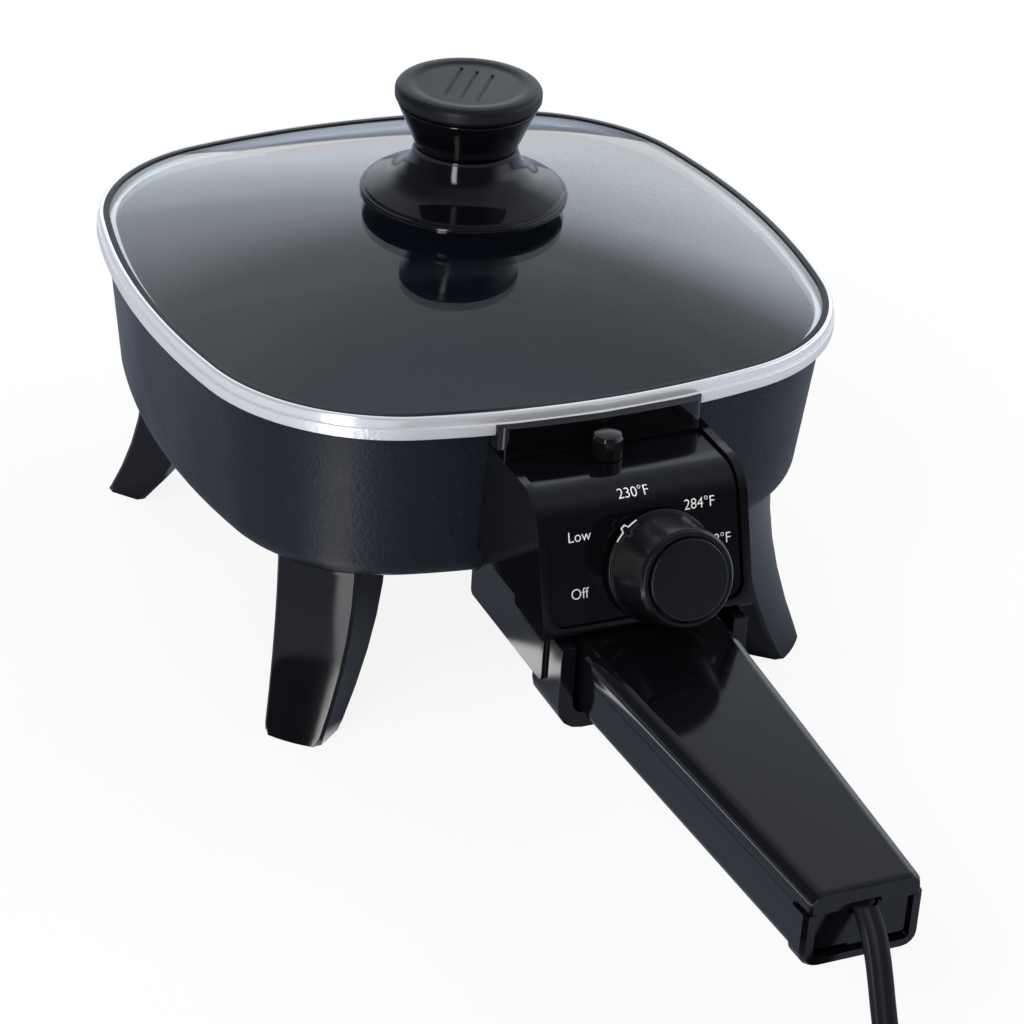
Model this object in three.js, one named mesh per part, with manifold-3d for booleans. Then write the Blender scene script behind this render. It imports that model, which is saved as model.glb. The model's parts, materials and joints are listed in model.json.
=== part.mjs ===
// A small electric skillet with a lift-off glass lid, a control box and a hollow handle.
// Lengths are millimetres. X points to the right, the handle points along -Y and Z points up.
// Every piece is drawn about the middle of the pan with the table at z = 0. The last group moves
// the whole skillet along Y, so that its middle lies over the origin.

import * as THREE from 'three';
import { mergeVertices } from 'three/addons/utils/BufferGeometryUtils.js';
import Module from 'manifold-3d';

const wasm = await Module();
wasm.setup();

// Shared clearances and facet counts
const fit = 0.3;
const runningFit = 0.1;
const overrun = 3;
const weld = 0.001;
const sideSteps = 4;
const cornerSteps = 8;
const bowlSteps = 6;
const roundSteps = 32;
const smallRoundSteps = 12;
const arcSteps = 4;
const wideArcSteps = 8;
const wideArcFrom = 8;

// Outline of lid and pan seen from above: four shallow side arcs joined by four corner arcs
const halfWidth = 95;
const cornerRadius = 54;
const sideRadius = 233.6;

// Middles and meeting angle of its arcs, and how far its corners reach
const sideCentre = sideRadius - halfWidth;
const cornerCentre =
  (Math.sqrt(2 * (sideRadius - cornerRadius) ** 2 - sideCentre ** 2) - sideCentre) / 2;
const meetingAngle = Math.atan2(cornerCentre, cornerCentre + sideCentre);
const cornerReach = cornerCentre * Math.SQRT2 + cornerRadius;

// Pan
const panClearOfTable = 47.5;
const panDepth = 50.7;
const panWall = 2.2;
const panBottomRadius = 9;
const panDraft = THREE.MathUtils.degToRad(5.9);
const lipProud = 0.6;
const lipHeight = 3.3;
const lipStepIn = 2.8;
const lipUpstand = 1.1;
const lipRebate = 2;
const lipRound = 0.4;
const legBossRadius = 5.5;
const legBossDrop = 4;
const strapBossRadius = 5;
const strapBossDrop = 1.4;
const strapBossApart = 16;
const strapBossInside = 27;
const strapBossFromCentre = halfWidth - strapBossInside;

// Lid
const bandHeight = 2.1;
const bandFlange = 1.3;
const bandSteel = 0.5;
const bandSkirt = 1.9;
const bandRound = 0.45;
const lidPlay = 0.7;
const glassThickness = 3;
const domeRise = 16.5;
const glassHoleRadius = 3.4;

// Lid knob
const gasketThickness = 0.5;
const gasketRadius = 10;
const guardRadius = 28.9;
const guardRim = 2.4;
const guardStep = 1.2;
const guardNeckRadius = 14.4;
const guardNeckHeight = 15.2;
const gripFootRadius = 14.2;
const gripTopRadius = 19.5;
const gripHeight = 12.2;
const capRadius = 20.2;
const capHeight = 5;
const capDish = 0.5;
const grooveLength = 21;
const grooveWidth = 1;
const grooveDepth = 0.6;
const grooveSpacing = 4.6;
const grooveSlant = THREE.MathUtils.degToRad(36);
const knobScrewRadius = 1.8;
const knobScrewHeadRadius = 4.4;
const knobScrewHeadHeight = 2.4;
const knobScrewGrip = 8;
const knobWasherRadius = 8;
const knobWasherThickness = 1.2;

// Legs, drawn along the diagonal from the pan's middle
const legInsideCorner = 13.5;
const legSplay = 13.7;
const legDepthTop = 17.4;
const legDepthFoot = 12.1;
const legBossInside = 9.6;
const legOuterTop = cornerReach - legInsideCorner;
const legOuterFoot = legOuterTop + legSplay;
const legInnerTop = legOuterTop - legDepthTop;
const legInnerFoot = legOuterFoot - legDepthFoot;
const legBossReach = legInnerTop - legBossInside;
const legHalfWidthTop = 11.7;
const legHalfWidthFoot = 8.3;
const legBackWidening = 1.2;
const legEdge = 0.8;
const legBend = 2;
const legTabThickness = 3.6;
const legTabHalfWidth = 7.6;
const legTabMargin = 7;
const legTabEnd = legBossReach - legTabMargin;
const legScrewRadius = 1.9;
const legScrewHeadRadius = 3.6;
const legScrewHeadHeight = 2;
const legScrewBite = 3.2;

// Heating element under the pan
const elementRadius = 2.6;
const elementInside = 49;
const elementLoopHalf = halfWidth - elementInside;
const elementLoopCorner = 22;
const elementEndApart = 42;
const elementPastPan = 2;
const elementEndReach = halfWidth + elementPastPan;
const elementPinRadius = 1.2;
const elementPinLength = 5;
const clampWidth = 8;
const clampSteel = 0.8;
const clampFoot = 5;

// Control box
const boxHalfWidth = 29.5;
const boxTopZ = 91;
const boxTopReach = 25.7;
const boxLean = 11.1;
const boxFrontTopY = -halfWidth - boxTopReach;
const boxFrontLowY = boxFrontTopY - boxLean;
const boxFrontLowZ = 55;
const boxBendRadius = 10.4;
const boxUnderPan = 11;
const boxRearY = -halfWidth + boxUnderPan;
const boxSkirtZ = 58.4;
const boxSkirtBack = 19.3;
const boxSkirtY = boxFrontLowY + boxSkirtBack;
const boxWall = 2.4;
const boxCavityGap = 3;
const boxCavityRearY = -halfWidth - boxCavityGap;
const cheekProud = 1;
const panelThickness = 2;
const panelBacking = 2;
const panelHalfWidth = 26.9;
const panelGap = 4.2;
const panelRearY = -halfWidth - panelGap;
const panelAboveFoot = 3.2;
const panelCorner = 4;
const bridgeHalfWidth = 30;
const bridgeProud = 3.8;
const bridgeFoot = 8;
const bossRadius = 4;

// Lower housing and handle socket
const baseHalfWidth = 27.2;
const baseUnderPan = 15;
const baseRearY = -halfWidth + baseUnderPan;
const baseFrontBack = 5.3;
const baseFrontY = boxFrontLowY + baseFrontBack;
const baseFloorZ = 40;
const baseWall = 1.6;
const socketWall = 4.1;
const socketFloor = 4.5;
const socketProud = 3.7;
const socketDepth = 16.5;
const socketFrontY = boxFrontLowY - socketProud;
const socketRearY = socketFrontY + socketDepth;
const socketTopZ = 54.7;
const socketCorner = 7;
const housingScrewApart = 40;
const housingScrewBack = 24.8;
const housingScrewY = boxFrontLowY + housingScrewBack;
const screwRadius = 1.5;
const screwHeadRadius = 2.9;
const screwHeadHeight = 1.8;

// Steel strap that carries box and handle
const strapHalfWidth = 14;
const strapSteel = 1.2;
const strapDrop = 1.9;
const strapRearGap = 8;
const strapRearY = -strapBossFromCentre + strapRearGap;
const strapReach = 16.5;
const strapFrontY = socketFrontY - strapReach;
const strapNoseHalf = 7;

// Dial and thermostat, drawn on the dial's own axis
const dialX = 3.6;
const dialUpFace = 15.1;
const dialRadiusBase = 14.2;
const dialRadiusFront = 12.9;
const dialSkirtRadius = 15;
const dialSkirtThickness = 1.2;
const dialHeight = 16.4;
const dialClear = 1.3;
const dialWaistShare = 0.8;
const dialRing = 1;
const dialCapRadius = 10.7;
const dialCapProud = 1.1;
const dialCapThickness = 2.2;
const shaftRadius = 2.2;
const shaftReach = 12;
const bushingRadius = 3.6;
const bushingProud = 0.4;
const bushingNutThickness = 2.4;
const bushingNutShare = 1.6;
const frameWidth = 20;
const frameLength = 23;
const frameBelowShaft = 11.5;
const frameSteel = 1.2;
const frameDepth = 9;
const stackRadius = 3.6;
const stackHeight = 2.2;
const bladeWidth = 6;
const bladeShort = 5;
const bladeLength = frameLength - bladeShort;
const bladeSteel = 0.6;
const contactBladeShare = 0.8;

// Pilot lamp on top of the box
const lampX = -2.2;
const lampFromPan = 8.9;
const lampY = -halfWidth - lampFromPan;
const lampRadius = 4.2;
const lampHeight = 6.6;
const lampStem = 3;
const lampRound = 1.2;
const neonRadius = 2.2;
const neonLength = 9;

// Handle
const handleRootInside = 13.7;
const handleLength = 126.1;
const handleRootY = socketFrontY + handleRootInside;
const handleEndY = handleRootY - handleLength;
const handleRootHalf = 21.8;
const handleEndHalf = 14.6;
const handleRootTopZ = 54.6;
const handleEndTopZ = 54;
const handleRootLowZ = 35;
const handleEndLowZ = 33.7;
const handleEdge = 3.6;
const handleWall = 2.2;
const handleNose = 1.4;
const partingRootZ = 47.5;
const partingEndZ = 48;
const handleLipProud = 0.8;
const handleLipLength = 7;
const endPlateRecess = 1.2;
const endPlateBorder = 2;
const notchHalfWidth = 3.9;
const notchHeight = 4.6;
const handleScrewFromRoot = 23.2;
const handleScrewFromEnd = 22;
const handleScrewY = [handleRootY - handleScrewFromRoot, handleEndY + handleScrewFromEnd];
const handleBossRadius = 3.6;
const clampBarFromEnd = 11;
const clampBarY = handleEndY + clampBarFromEnd;
const clampBarHalf = 8;
const clampBarThickness = 1.9;
const clampBarWidth = 6;

// Flat twin cord, its coil and its plug
const cordWidth = 6.4;
const cordThickness = 3.2;
const coilRadius = 37.5;
const coilPitch = 3.9;
const coilLayerGap = 0.6;
const coilTurnsIn = 1.5;
const coilEntryExtra = 2;
const coilDip = 1.6;
const coilSteps = 24;
const climbShare = 0.5;
const dipLeadShare = 0.2;
const tailDropShare = 0.3;
const tailTurnShare = 0.1;
const tailLength = 26;
const tieSteel = 0.6;
const tieGap = 0.5;
const tieLength = 5;
const reliefLength = 16;
const plugLength = 24;
const plugHalfWidth = 12;
const plugThickness = 11.4;
const bladeApart = 12.7;
const pinLength = 16;
const pinThickness = 1.5;
const widePin = 7.9;
const narrowPin = 6.3;

// Heights that follow from the sizes above
const lipTopZ = panClearOfTable + panDepth;
const lipUnderZ = lipTopZ - lipHeight;
const rebateZ = lipTopZ - lipRebate;
const bandBottomZ = lipTopZ + fit;
const bandTopZ = bandBottomZ + bandHeight;
const seatZ = rebateZ + fit;
const glassEdgeZ = seatZ + bandSteel + fit;
const glassEdgeTopZ = glassEdgeZ + glassThickness;
const glassCrownZ = glassEdgeTopZ + domeRise;
const guardZ = glassCrownZ + fit + gasketThickness + fit;
const gripZ = guardZ + guardNeckHeight + fit;
const capZ = gripZ + gripHeight + fit;

const surface = (colour, roughness, metalness) =>
  new THREE.MeshStandardMaterial({ color: colour, roughness, metalness });
const finishes = {
  coating: surface(0x23262d, 0.45, 0.2),
  bareMetal: surface(0xc9cacc, 0.25, 1),
  steel: surface(0x9a9ca0, 0.35, 1),
  brass: surface(0xb08d4f, 0.35, 1),
  phenolic: surface(0x0c0c0e, 0.2, 0),
  satin: surface(0x26262a, 0.55, 0),
  glass: surface(0x8fa3ad, 0.05, 0),
  silicone: surface(0x55565a, 0.7, 0),
  ceramic: surface(0xdedbd2, 0.6, 0),
  neon: surface(0xd98a5a, 0.15, 0),
  vinyl: surface(0x141416, 0.5, 0)
};

// One clean closed body: only positions, shared vertices merged, slivers dropped, faces outward
function closedBody(geometry) {
  const bare = geometry.index ? geometry.toNonIndexed() : geometry.clone();
  for (const name of Object.keys(bare.attributes)) {
    if (name !== 'position') bare.deleteAttribute(name);
  }
  const merged = mergeVertices(bare, weld);
  const corners = merged.index.array;
  const kept = [];
  for (let i = 0; i < corners.length; i += 3) {
    const [a, b, c] = [corners[i], corners[i + 1], corners[i + 2]];
    if (a !== b && b !== c && c !== a) kept.push(a, b, c);
  }
  merged.setIndex(kept);
  if (signedVolume(merged) < 0) {
    for (let i = 0; i < kept.length; i += 3) [kept[i], kept[i + 1]] = [kept[i + 1], kept[i]];
    merged.setIndex(kept);
  }
  return merged;
}

function signedVolume(geometry) {
  const place = geometry.attributes.position;
  const corners = geometry.index.array;
  const [a, b, c] = [new THREE.Vector3(), new THREE.Vector3(), new THREE.Vector3()];
  let sum = 0;
  for (let i = 0; i < corners.length; i += 3) {
    a.fromBufferAttribute(place, corners[i]);
    b.fromBufferAttribute(place, corners[i + 1]);
    c.fromBufferAttribute(place, corners[i + 2]);
    sum += a.dot(b.cross(c));
  }
  return sum;
}

function toSolid(geometry) {
  const body = closedBody(geometry);
  return new wasm.Manifold(new wasm.Mesh({
    numProp: 3,
    vertProperties: new Float32Array(body.attributes.position.array),
    triVerts: new Uint32Array(body.index.array)
  }));
}

function fromSolid(solid) {
  const mesh = solid.getMesh();
  const geometry = new THREE.BufferGeometry();
  geometry.setAttribute('position', new THREE.BufferAttribute(mesh.vertProperties, 3));
  geometry.setIndex(Array.from(mesh.triVerts));
  return geometry;
}

const cut = (body, ...tools) =>
  fromSolid(tools.reduce((left, tool) => left.subtract(toSolid(tool)), toSolid(body)));
const join = (body, ...more) =>
  fromSolid(more.reduce((sum, piece) => sum.add(toSolid(piece)), toSolid(body)));
const common = (body, other) => fromSolid(toSolid(body).intersect(toSolid(other)));

// Skin over a row of rings with equally many points. The row closes on itself or gets flat ends.
function loft(rings, closesOnItself = false) {
  const spots = [];
  const face = (a, b, c) => spots.push(...a.toArray(), ...b.toArray(), ...c.toArray());
  const count = rings[0].length;
  const bands = closesOnItself ? rings.length : rings.length - 1;
  for (let r = 0; r < bands; r++) {
    const low = rings[r];
    const high = rings[(r + 1) % rings.length];
    for (let i = 0; i < count; i++) {
      const j = (i + 1) % count;
      face(low[i], low[j], high[j]);
      face(low[i], high[j], high[i]);
    }
  }
  if (!closesOnItself) {
    const last = rings[rings.length - 1];
    const middle = (ring) => ring.reduce((s, p) => s.add(p), new THREE.Vector3()).divideScalar(count);
    const [foot, head] = [middle(rings[0]), middle(last)];
    for (let i = 0; i < count; i++) {
      const j = (i + 1) % count;
      face(foot, rings[0][j], rings[0][i]);
      face(head, last[i], last[j]);
    }
  }
  const geometry = new THREE.BufferGeometry();
  geometry.setAttribute('position', new THREE.Float32BufferAttribute(spots, 3));
  return closedBody(geometry);
}


// The outline at one height, moved out by an offset square to itself
function outlineRing(offset, z) {
  const ring = [];
  for (let quarter = 0; quarter < 4; quarter++) {
    const turn = (quarter * Math.PI) / 2;
    const put = (cx, cy, radius, angle) => {
      const x = cx + radius * Math.cos(angle);
      const y = cy + radius * Math.sin(angle);
      ring.push(new THREE.Vector3(
        x * Math.cos(turn) - y * Math.sin(turn), x * Math.sin(turn) + y * Math.cos(turn), z));
    };
    for (let i = 0; i < sideSteps; i++) {
      put(-sideCentre, 0, sideRadius + offset, meetingAngle * ((2 * i) / sideSteps - 1));
    }
    const span = Math.PI / 2 - 2 * meetingAngle;
    for (let i = 0; i < cornerSteps; i++) {
      put(cornerCentre, cornerCentre, cornerRadius + offset, meetingAngle + (span * i) / cornerSteps);
    }
  }
  return ring;
}

// The outline drawn smaller by a share, and rounder the smaller it is
function shrunkRing(offset, share, z) {
  return outlineRing(offset, z).map((p) => {
    const angle = Math.atan2(p.y, p.x);
    const round = (halfWidth + offset) * share;
    const x = share * p.x * share + (1 - share) * round * Math.cos(angle);
    const y = share * p.y * share + (1 - share) * round * Math.sin(angle);
    return new THREE.Vector3(x, y, z);
  });
}

const circleRing = (radius, z, like) =>
  like.map((p) => {
    const angle = Math.atan2(p.y, p.x);
    return new THREE.Vector3(radius * Math.cos(angle), radius * Math.sin(angle), z);
  });

// A body of revolution about Z from a closed profile of radius and height
function revolve(profile, steps = roundSteps) {
  const points = profile.map(([r, z]) => new THREE.Vector2(r, z));
  return closedBody(new THREE.LatheGeometry(points, steps).rotateX(Math.PI / 2));
}

const ringOf = (inner, outer, low, high, steps) =>
  revolve([[inner, low], [outer, low], [outer, high], [inner, high], [inner, low]], steps);

// A polygon whose corners may be rounded: each corner is [a, b, radius]
function roundedShape(corners) {
  const count = corners.length;
  const points = corners.flatMap(([a, b, radius = 0], i) => {
    const corner = new THREE.Vector2(a, b);
    if (radius === 0) return [corner];
    const before = new THREE.Vector2(...corners[(i + count - 1) % count].slice(0, 2)).sub(corner).normalize();
    const after = new THREE.Vector2(...corners[(i + 1) % count].slice(0, 2)).sub(corner).normalize();
    const half = Math.acos(THREE.MathUtils.clamp(before.dot(after), -1, 1)) / 2;
    const centre = corner.clone().addScaledVector(before.clone().add(after).normalize(), radius / Math.sin(half));
    const start = corner.clone().addScaledVector(before, radius / Math.tan(half)).sub(centre);
    const sweep = (Math.PI - 2 * half) * Math.sign(after.cross(before));
    const steps = radius > wideArcFrom ? wideArcSteps : arcSteps;
    return Array.from({ length: steps + 1 }, (_, k) =>
      start.clone().rotateAround(new THREE.Vector2(), (sweep * k) / steps).add(centre));
  });
  return new THREE.Shape(points);
}

const extruded = (corners, depth) =>
  new THREE.ExtrudeGeometry(roundedShape(corners), { depth, bevelEnabled: false });

// Prisms: a [y, z] outline carried along X, an [x, z] outline along Y, an [x, y] outline along Z
function prismX(corners, left, right) {
  const turn = new THREE.Matrix4().makeBasis(
    new THREE.Vector3(0, 1, 0), new THREE.Vector3(0, 0, 1), new THREE.Vector3(1, 0, 0));
  return closedBody(extruded(corners, right - left).applyMatrix4(turn).translate(left, 0, 0));
}

function prismY(corners, front, back) {
  const turn = new THREE.Matrix4().makeBasis(
    new THREE.Vector3(1, 0, 0), new THREE.Vector3(0, 0, 1), new THREE.Vector3(0, -1, 0));
  return closedBody(extruded(corners, back - front).applyMatrix4(turn).translate(0, back, 0));
}

const prismZ = (corners, low, high) =>
  closedBody(extruded(corners, high - low).translate(0, 0, low));

function block(x0, x1, y0, y1, z0, z1) {
  const box = new THREE.BoxGeometry(x1 - x0, y1 - y0, z1 - z0);
  return closedBody(box.translate((x0 + x1) / 2, (y0 + y1) / 2, (z0 + z1) / 2));
}

// Four corners of a rectangle with one corner radius
const rectangle = (left, right, low, high, radius = 0) =>
  [[left, low, radius], [right, low, radius], [right, high, radius], [left, high, radius]];

const post = (x, y, radius, low, high, steps = smallRoundSteps) =>
  closedBody(new THREE.CylinderGeometry(radius, radius, high - low, steps)
    .rotateX(Math.PI / 2).translate(x, y, (low + high) / 2));

// A screw that points up: its head sits under headZ
const screw = (x, y, headZ, headRadius, headHeight, radius, tipZ) =>
  revolve([[0, headZ - headHeight], [headRadius, headZ - headHeight], [headRadius, headZ],
    [radius, headZ], [radius, tipZ], [0, tipZ]], smallRoundSteps).translate(x, y, 0);

// Section of the flat twin cord, half of it as shares of width and thickness
const cordLobeShare = 0.62;
const cordCorners = [[1, 0], [cordLobeShare, 1], [-cordLobeShare, 1], [-1, 0],
  [-cordLobeShare, -1], [cordLobeShare, -1]];

// One cross-section of the cord: its wide way is level at 0 and upright at 1
function cordRing(at, along, upright) {
  const side = new THREE.Vector3(along.y, -along.x, 0);
  if (side.length() < weld) side.set(1, 0, 0);
  side.normalize();
  const up = side.clone().cross(along).normalize();
  const turn = (upright * Math.PI) / 2;
  const wide = side.clone().multiplyScalar(Math.cos(turn)).addScaledVector(up, Math.sin(turn));
  const thin = side.clone().multiplyScalar(-Math.sin(turn)).addScaledVector(up, Math.cos(turn));
  return cordCorners.map(([a, b]) => at.clone().addScaledVector(wide, (a * cordWidth) / 2)
    .addScaledVector(thin, (b * cordThickness) / 2));
}

// Cord laid flat along a smooth line through some points
function flatCord(route, steps) {
  const line = new THREE.CatmullRomCurve3(route.map((p) => new THREE.Vector3(...p)), false, 'centripetal');
  const rings = [];
  for (let i = 0; i <= steps; i++) {
    rings.push(cordRing(line.getPointAt(i / steps), line.getTangentAt(i / steps), 0));
  }
  return loft(rings);
}

// Offset of the pan's outer wall from the outline at one height
const wallOffset = (z) => lipProud - lipStepIn - (lipUnderZ - z) * Math.tan(panDraft);

// Rings of the pan's outside from the bottom up, drawn larger by a clearance
function panOutsideRings(clearance) {
  const radius = panBottomRadius + clearance;
  const middleZ = panClearOfTable + panBottomRadius;
  const touchZ = middleZ - panBottomRadius * Math.sin(panDraft);
  const middleOffset = wallOffset(touchZ) - panBottomRadius * Math.cos(panDraft);
  const rings = [];
  for (let i = 0; i <= bowlSteps; i++) {
    const angle = -Math.PI / 2 + ((Math.PI / 2 - panDraft) * i) / bowlSteps;
    rings.push(outlineRing(middleOffset + radius * Math.cos(angle), middleZ + radius * Math.sin(angle)));
  }
  rings.push(outlineRing(wallOffset(lipUnderZ - clearance) + clearance, lipUnderZ - clearance));
  rings.push(outlineRing(lipProud + clearance, lipUnderZ - clearance));
  rings.push(outlineRing(lipProud + clearance, lipTopZ + clearance));
  return rings;
}

// The pan's outside as a plug that cuts whatever hugs it
const panPlug = (clearance) => loft(panOutsideRings(clearance));

function panBody() {
  const outside = panOutsideRings(0).slice(0, -1);
  const innerRadius = panBottomRadius - panWall;
  const middleZ = panClearOfTable + panBottomRadius;
  const touchZ = middleZ - panBottomRadius * Math.sin(panDraft);
  const middleOffset = wallOffset(touchZ) - panBottomRadius * Math.cos(panDraft);
  const innerWall = wallOffset(rebateZ) - panWall / Math.cos(panDraft);
  const upstandInner = lipProud - lipUpstand;
  const rings = [
    ...outside,
    outlineRing(lipProud, lipTopZ - lipRound),
    outlineRing(lipProud - lipRound, lipTopZ),
    outlineRing(upstandInner, lipTopZ),
    outlineRing(upstandInner, rebateZ),
    outlineRing(innerWall, rebateZ)
  ];
  for (let i = bowlSteps / 2; i >= 0; i--) {
    const angle = -Math.PI / 2 + ((Math.PI / 2 - panDraft) * 2 * i) / bowlSteps;
    rings.push(outlineRing(
      middleOffset + innerRadius * Math.cos(angle), middleZ + innerRadius * Math.sin(angle)));
  }
  const bosses = diagonals.map(([dx, dy]) => {
    const boss = post(dx * legBossReach, dy * legBossReach, legBossRadius,
      panClearOfTable - legBossDrop, panClearOfTable + panWall / 2);
    return cut(boss, post(dx * legBossReach, dy * legBossReach, legScrewRadius + fit,
      panClearOfTable - legBossDrop - overrun, panClearOfTable - legBossDrop + legScrewBite + fit));
  });
  const strapBosses = [-1, 1].map((side) => {
    const x = (side * strapBossApart) / 2;
    const low = panClearOfTable - strapBossDrop;
    const boss = post(x, -strapBossFromCentre, strapBossRadius, low, panClearOfTable + panWall / 2);
    return cut(boss, post(x, -strapBossFromCentre, screwRadius + fit, low - overrun, low + strapBossDrop));
  });
  return join(loft(rings), ...bosses, ...strapBosses);
}

const diagonals = [[-1, -1], [1, -1], [1, 1], [-1, 1]].map(([x, y]) => [x * Math.SQRT1_2, y * Math.SQRT1_2]);

function lidRim() {
  const step = -(lipUpstand - lipProud + fit);
  const skirt = wallOffset(rebateZ) - panWall / Math.cos(panDraft) - lidPlay;
  const profile = [
    [-bandFlange, bandTopZ], [-bandRound, bandTopZ], [0, bandTopZ - bandRound], [0, bandBottomZ],
    [step, bandBottomZ], [step, seatZ], [skirt, seatZ], [skirt, seatZ - bandSkirt],
    [skirt - bandSteel, seatZ - bandSkirt], [skirt - bandSteel, seatZ + bandSteel],
    [-bandFlange, seatZ + bandSteel]
  ];
  return loft(profile.map(([offset, z]) => outlineRing(offset, z)), true);
}

// Height of the glass's top over the share of the way from the middle to the edge
const domePower = 2.2;
const domeZ = (share) => glassEdgeTopZ + domeRise * (1 - share ** domePower);

function lidGlass() {
  const edge = -(bandFlange + fit);
  const domeShares = [0.3, 0.52, 0.72, 0.88, 1];
  const rows = domeShares.map((share) => [share, domeZ(share)]);
  const like = outlineRing(edge, 0);
  const top = rows.map(([share, z]) => shrunkRing(edge, share, z));
  const under = rows.map(([share, z]) => shrunkRing(edge, share, z - glassThickness));
  const hole = [circleRing(glassHoleRadius, glassCrownZ, like),
    circleRing(glassHoleRadius, glassCrownZ - glassThickness, like)];
  return loft([hole[0], ...top, ...under.reverse(), hole[1]], true);
}

const lidKnobGasket = () =>
  ringOf(knobScrewRadius + fit, gasketRadius, glassCrownZ + fit, glassCrownZ + fit + gasketThickness);

function lidKnobBase() {
  const bore = knobScrewRadius + fit;
  const rise = guardNeckHeight - guardRim - guardStep;
  const flareShares = [[0.62, 0.1], [0.32, 0.28], [0.12, 0.56], [0, 1]];
  const shoulder = guardRadius - guardStep;
  const flare = flareShares.map(([out, up]) => [
    guardNeckRadius + (shoulder - guardStep - guardNeckRadius) * out, guardZ + guardRim + guardStep / 2 + rise * up]);
  return revolve([
    [bore, guardZ], [guardRadius - guardStep / 2, guardZ], [guardRadius, guardZ + guardStep / 2],
    [guardRadius, guardZ + guardRim - guardStep / 2], [guardRadius - guardStep / 2, guardZ + guardRim],
    [shoulder, guardZ + guardRim], [shoulder - guardStep / 2, guardZ + guardRim + guardStep / 2],
    ...flare, [guardNeckRadius, guardZ + guardNeckHeight],
    [bore, guardZ + guardNeckHeight], [bore, guardZ]
  ]);
}

function lidKnobGrip() {
  const bore = knobScrewRadius + fit;
  return revolve([
    [bore, gripZ], [gripFootRadius, gripZ], [gripTopRadius, gripZ + gripHeight], [0, gripZ + gripHeight],
    [0, gripZ + knobScrewGrip + fit], [bore, gripZ + knobScrewGrip + fit], [bore, gripZ]
  ]);
}

function lidKnobCap() {
  const top = capZ + capHeight;
  const roundShares = [[0, 0.55], [0.25, 0.85], [1, 1]];
  const edge = roundShares.map(([inward, up]) => [capRadius - capDish * 2 * inward, capZ + capHeight * up]);
  const disc = revolve([
    [0, capZ], [gripTopRadius - fit, capZ], [capRadius, capZ + capHeight / 4], ...edge,
    [capRadius - capHeight, top - capDish], [0, top - capDish]
  ]);
  const grooves = [-1, 0, 1].map((place) =>
    block(-grooveWidth / 2, grooveWidth / 2, -grooveLength / 2, grooveLength / 2,
      top - capDish - grooveDepth, top + overrun)
      .rotateZ(-grooveSlant).translate(place * grooveSpacing, 0, 0));
  return cut(disc, ...grooves);
}

const washerTopZ = glassCrownZ - glassThickness - fit;
const lidKnobWasher = () =>
  ringOf(knobScrewRadius + fit, knobWasherRadius, washerTopZ - knobWasherThickness, washerTopZ);
const lidKnobScrew = () => screw(0, 0, washerTopZ - knobWasherThickness - fit, knobScrewHeadRadius,
  knobScrewHeadHeight, knobScrewRadius, gripZ + knobScrewGrip);

// A leg is drawn along +X and turned to its corner afterwards
const legTabTopZ = panClearOfTable - legBossDrop - fit;

function legShape() {
  const top = panClearOfTable + panBottomRadius;
  const legStationShares = [0, 0.04, 0.18, 0.34, 0.5, 0.66, 0.82, 1];
  const sections = legStationShares.map((share) => {
    const down = Math.min(1, (1 - (share * top) / (panClearOfTable + legEdge)) ** legBend || 0);
    const outer = legOuterTop + (legOuterFoot - legOuterTop) * down;
    const inner = legInnerTop + (legInnerFoot - legInnerTop) * down;
    const half = legHalfWidthTop + (legHalfWidthFoot - legHalfWidthTop) * down;
    const back = half + legBackWidening * (1 - down / 3);
    const chamfer = legEdge * (share === 0 ? 2 : 1);
    return [
      [outer, half - chamfer], [outer - chamfer, half], [inner + chamfer, back], [inner, back - chamfer],
      [inner, -back + chamfer], [inner + chamfer, -back], [outer - chamfer, -half], [outer, -half + chamfer]
    ].map(([u, v]) => new THREE.Vector3(u, v, share * top));
  });
  const tab = prismZ(rectangle(legTabEnd, legInnerTop + panBottomRadius, -legTabHalfWidth, legTabHalfWidth, legEdge),
    legTabTopZ - legTabThickness, legTabTopZ);
  return cut(join(loft(sections), tab),
    post(legBossReach, 0, legScrewRadius + fit, legTabTopZ - legTabThickness - overrun, legTabTopZ + overrun),
    post(legBossReach, 0, legBossRadius + fit, legTabTopZ, panClearOfTable + overrun));
}

function leg([dx, dy]) {
  return cut(legShape().rotateZ(Math.atan2(dy, dx)), panPlug(fit));
}

const legScrew = ([dx, dy]) => screw(dx * legBossReach, dy * legBossReach, legTabTopZ - legTabThickness - fit,
  legScrewHeadRadius, legScrewHeadHeight, legScrewRadius, panClearOfTable - legBossDrop + legScrewBite);

// Heating element: a rounded loop under the pan with both ends running into the control box
const elementZ = panClearOfTable - fit - elementRadius;

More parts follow.
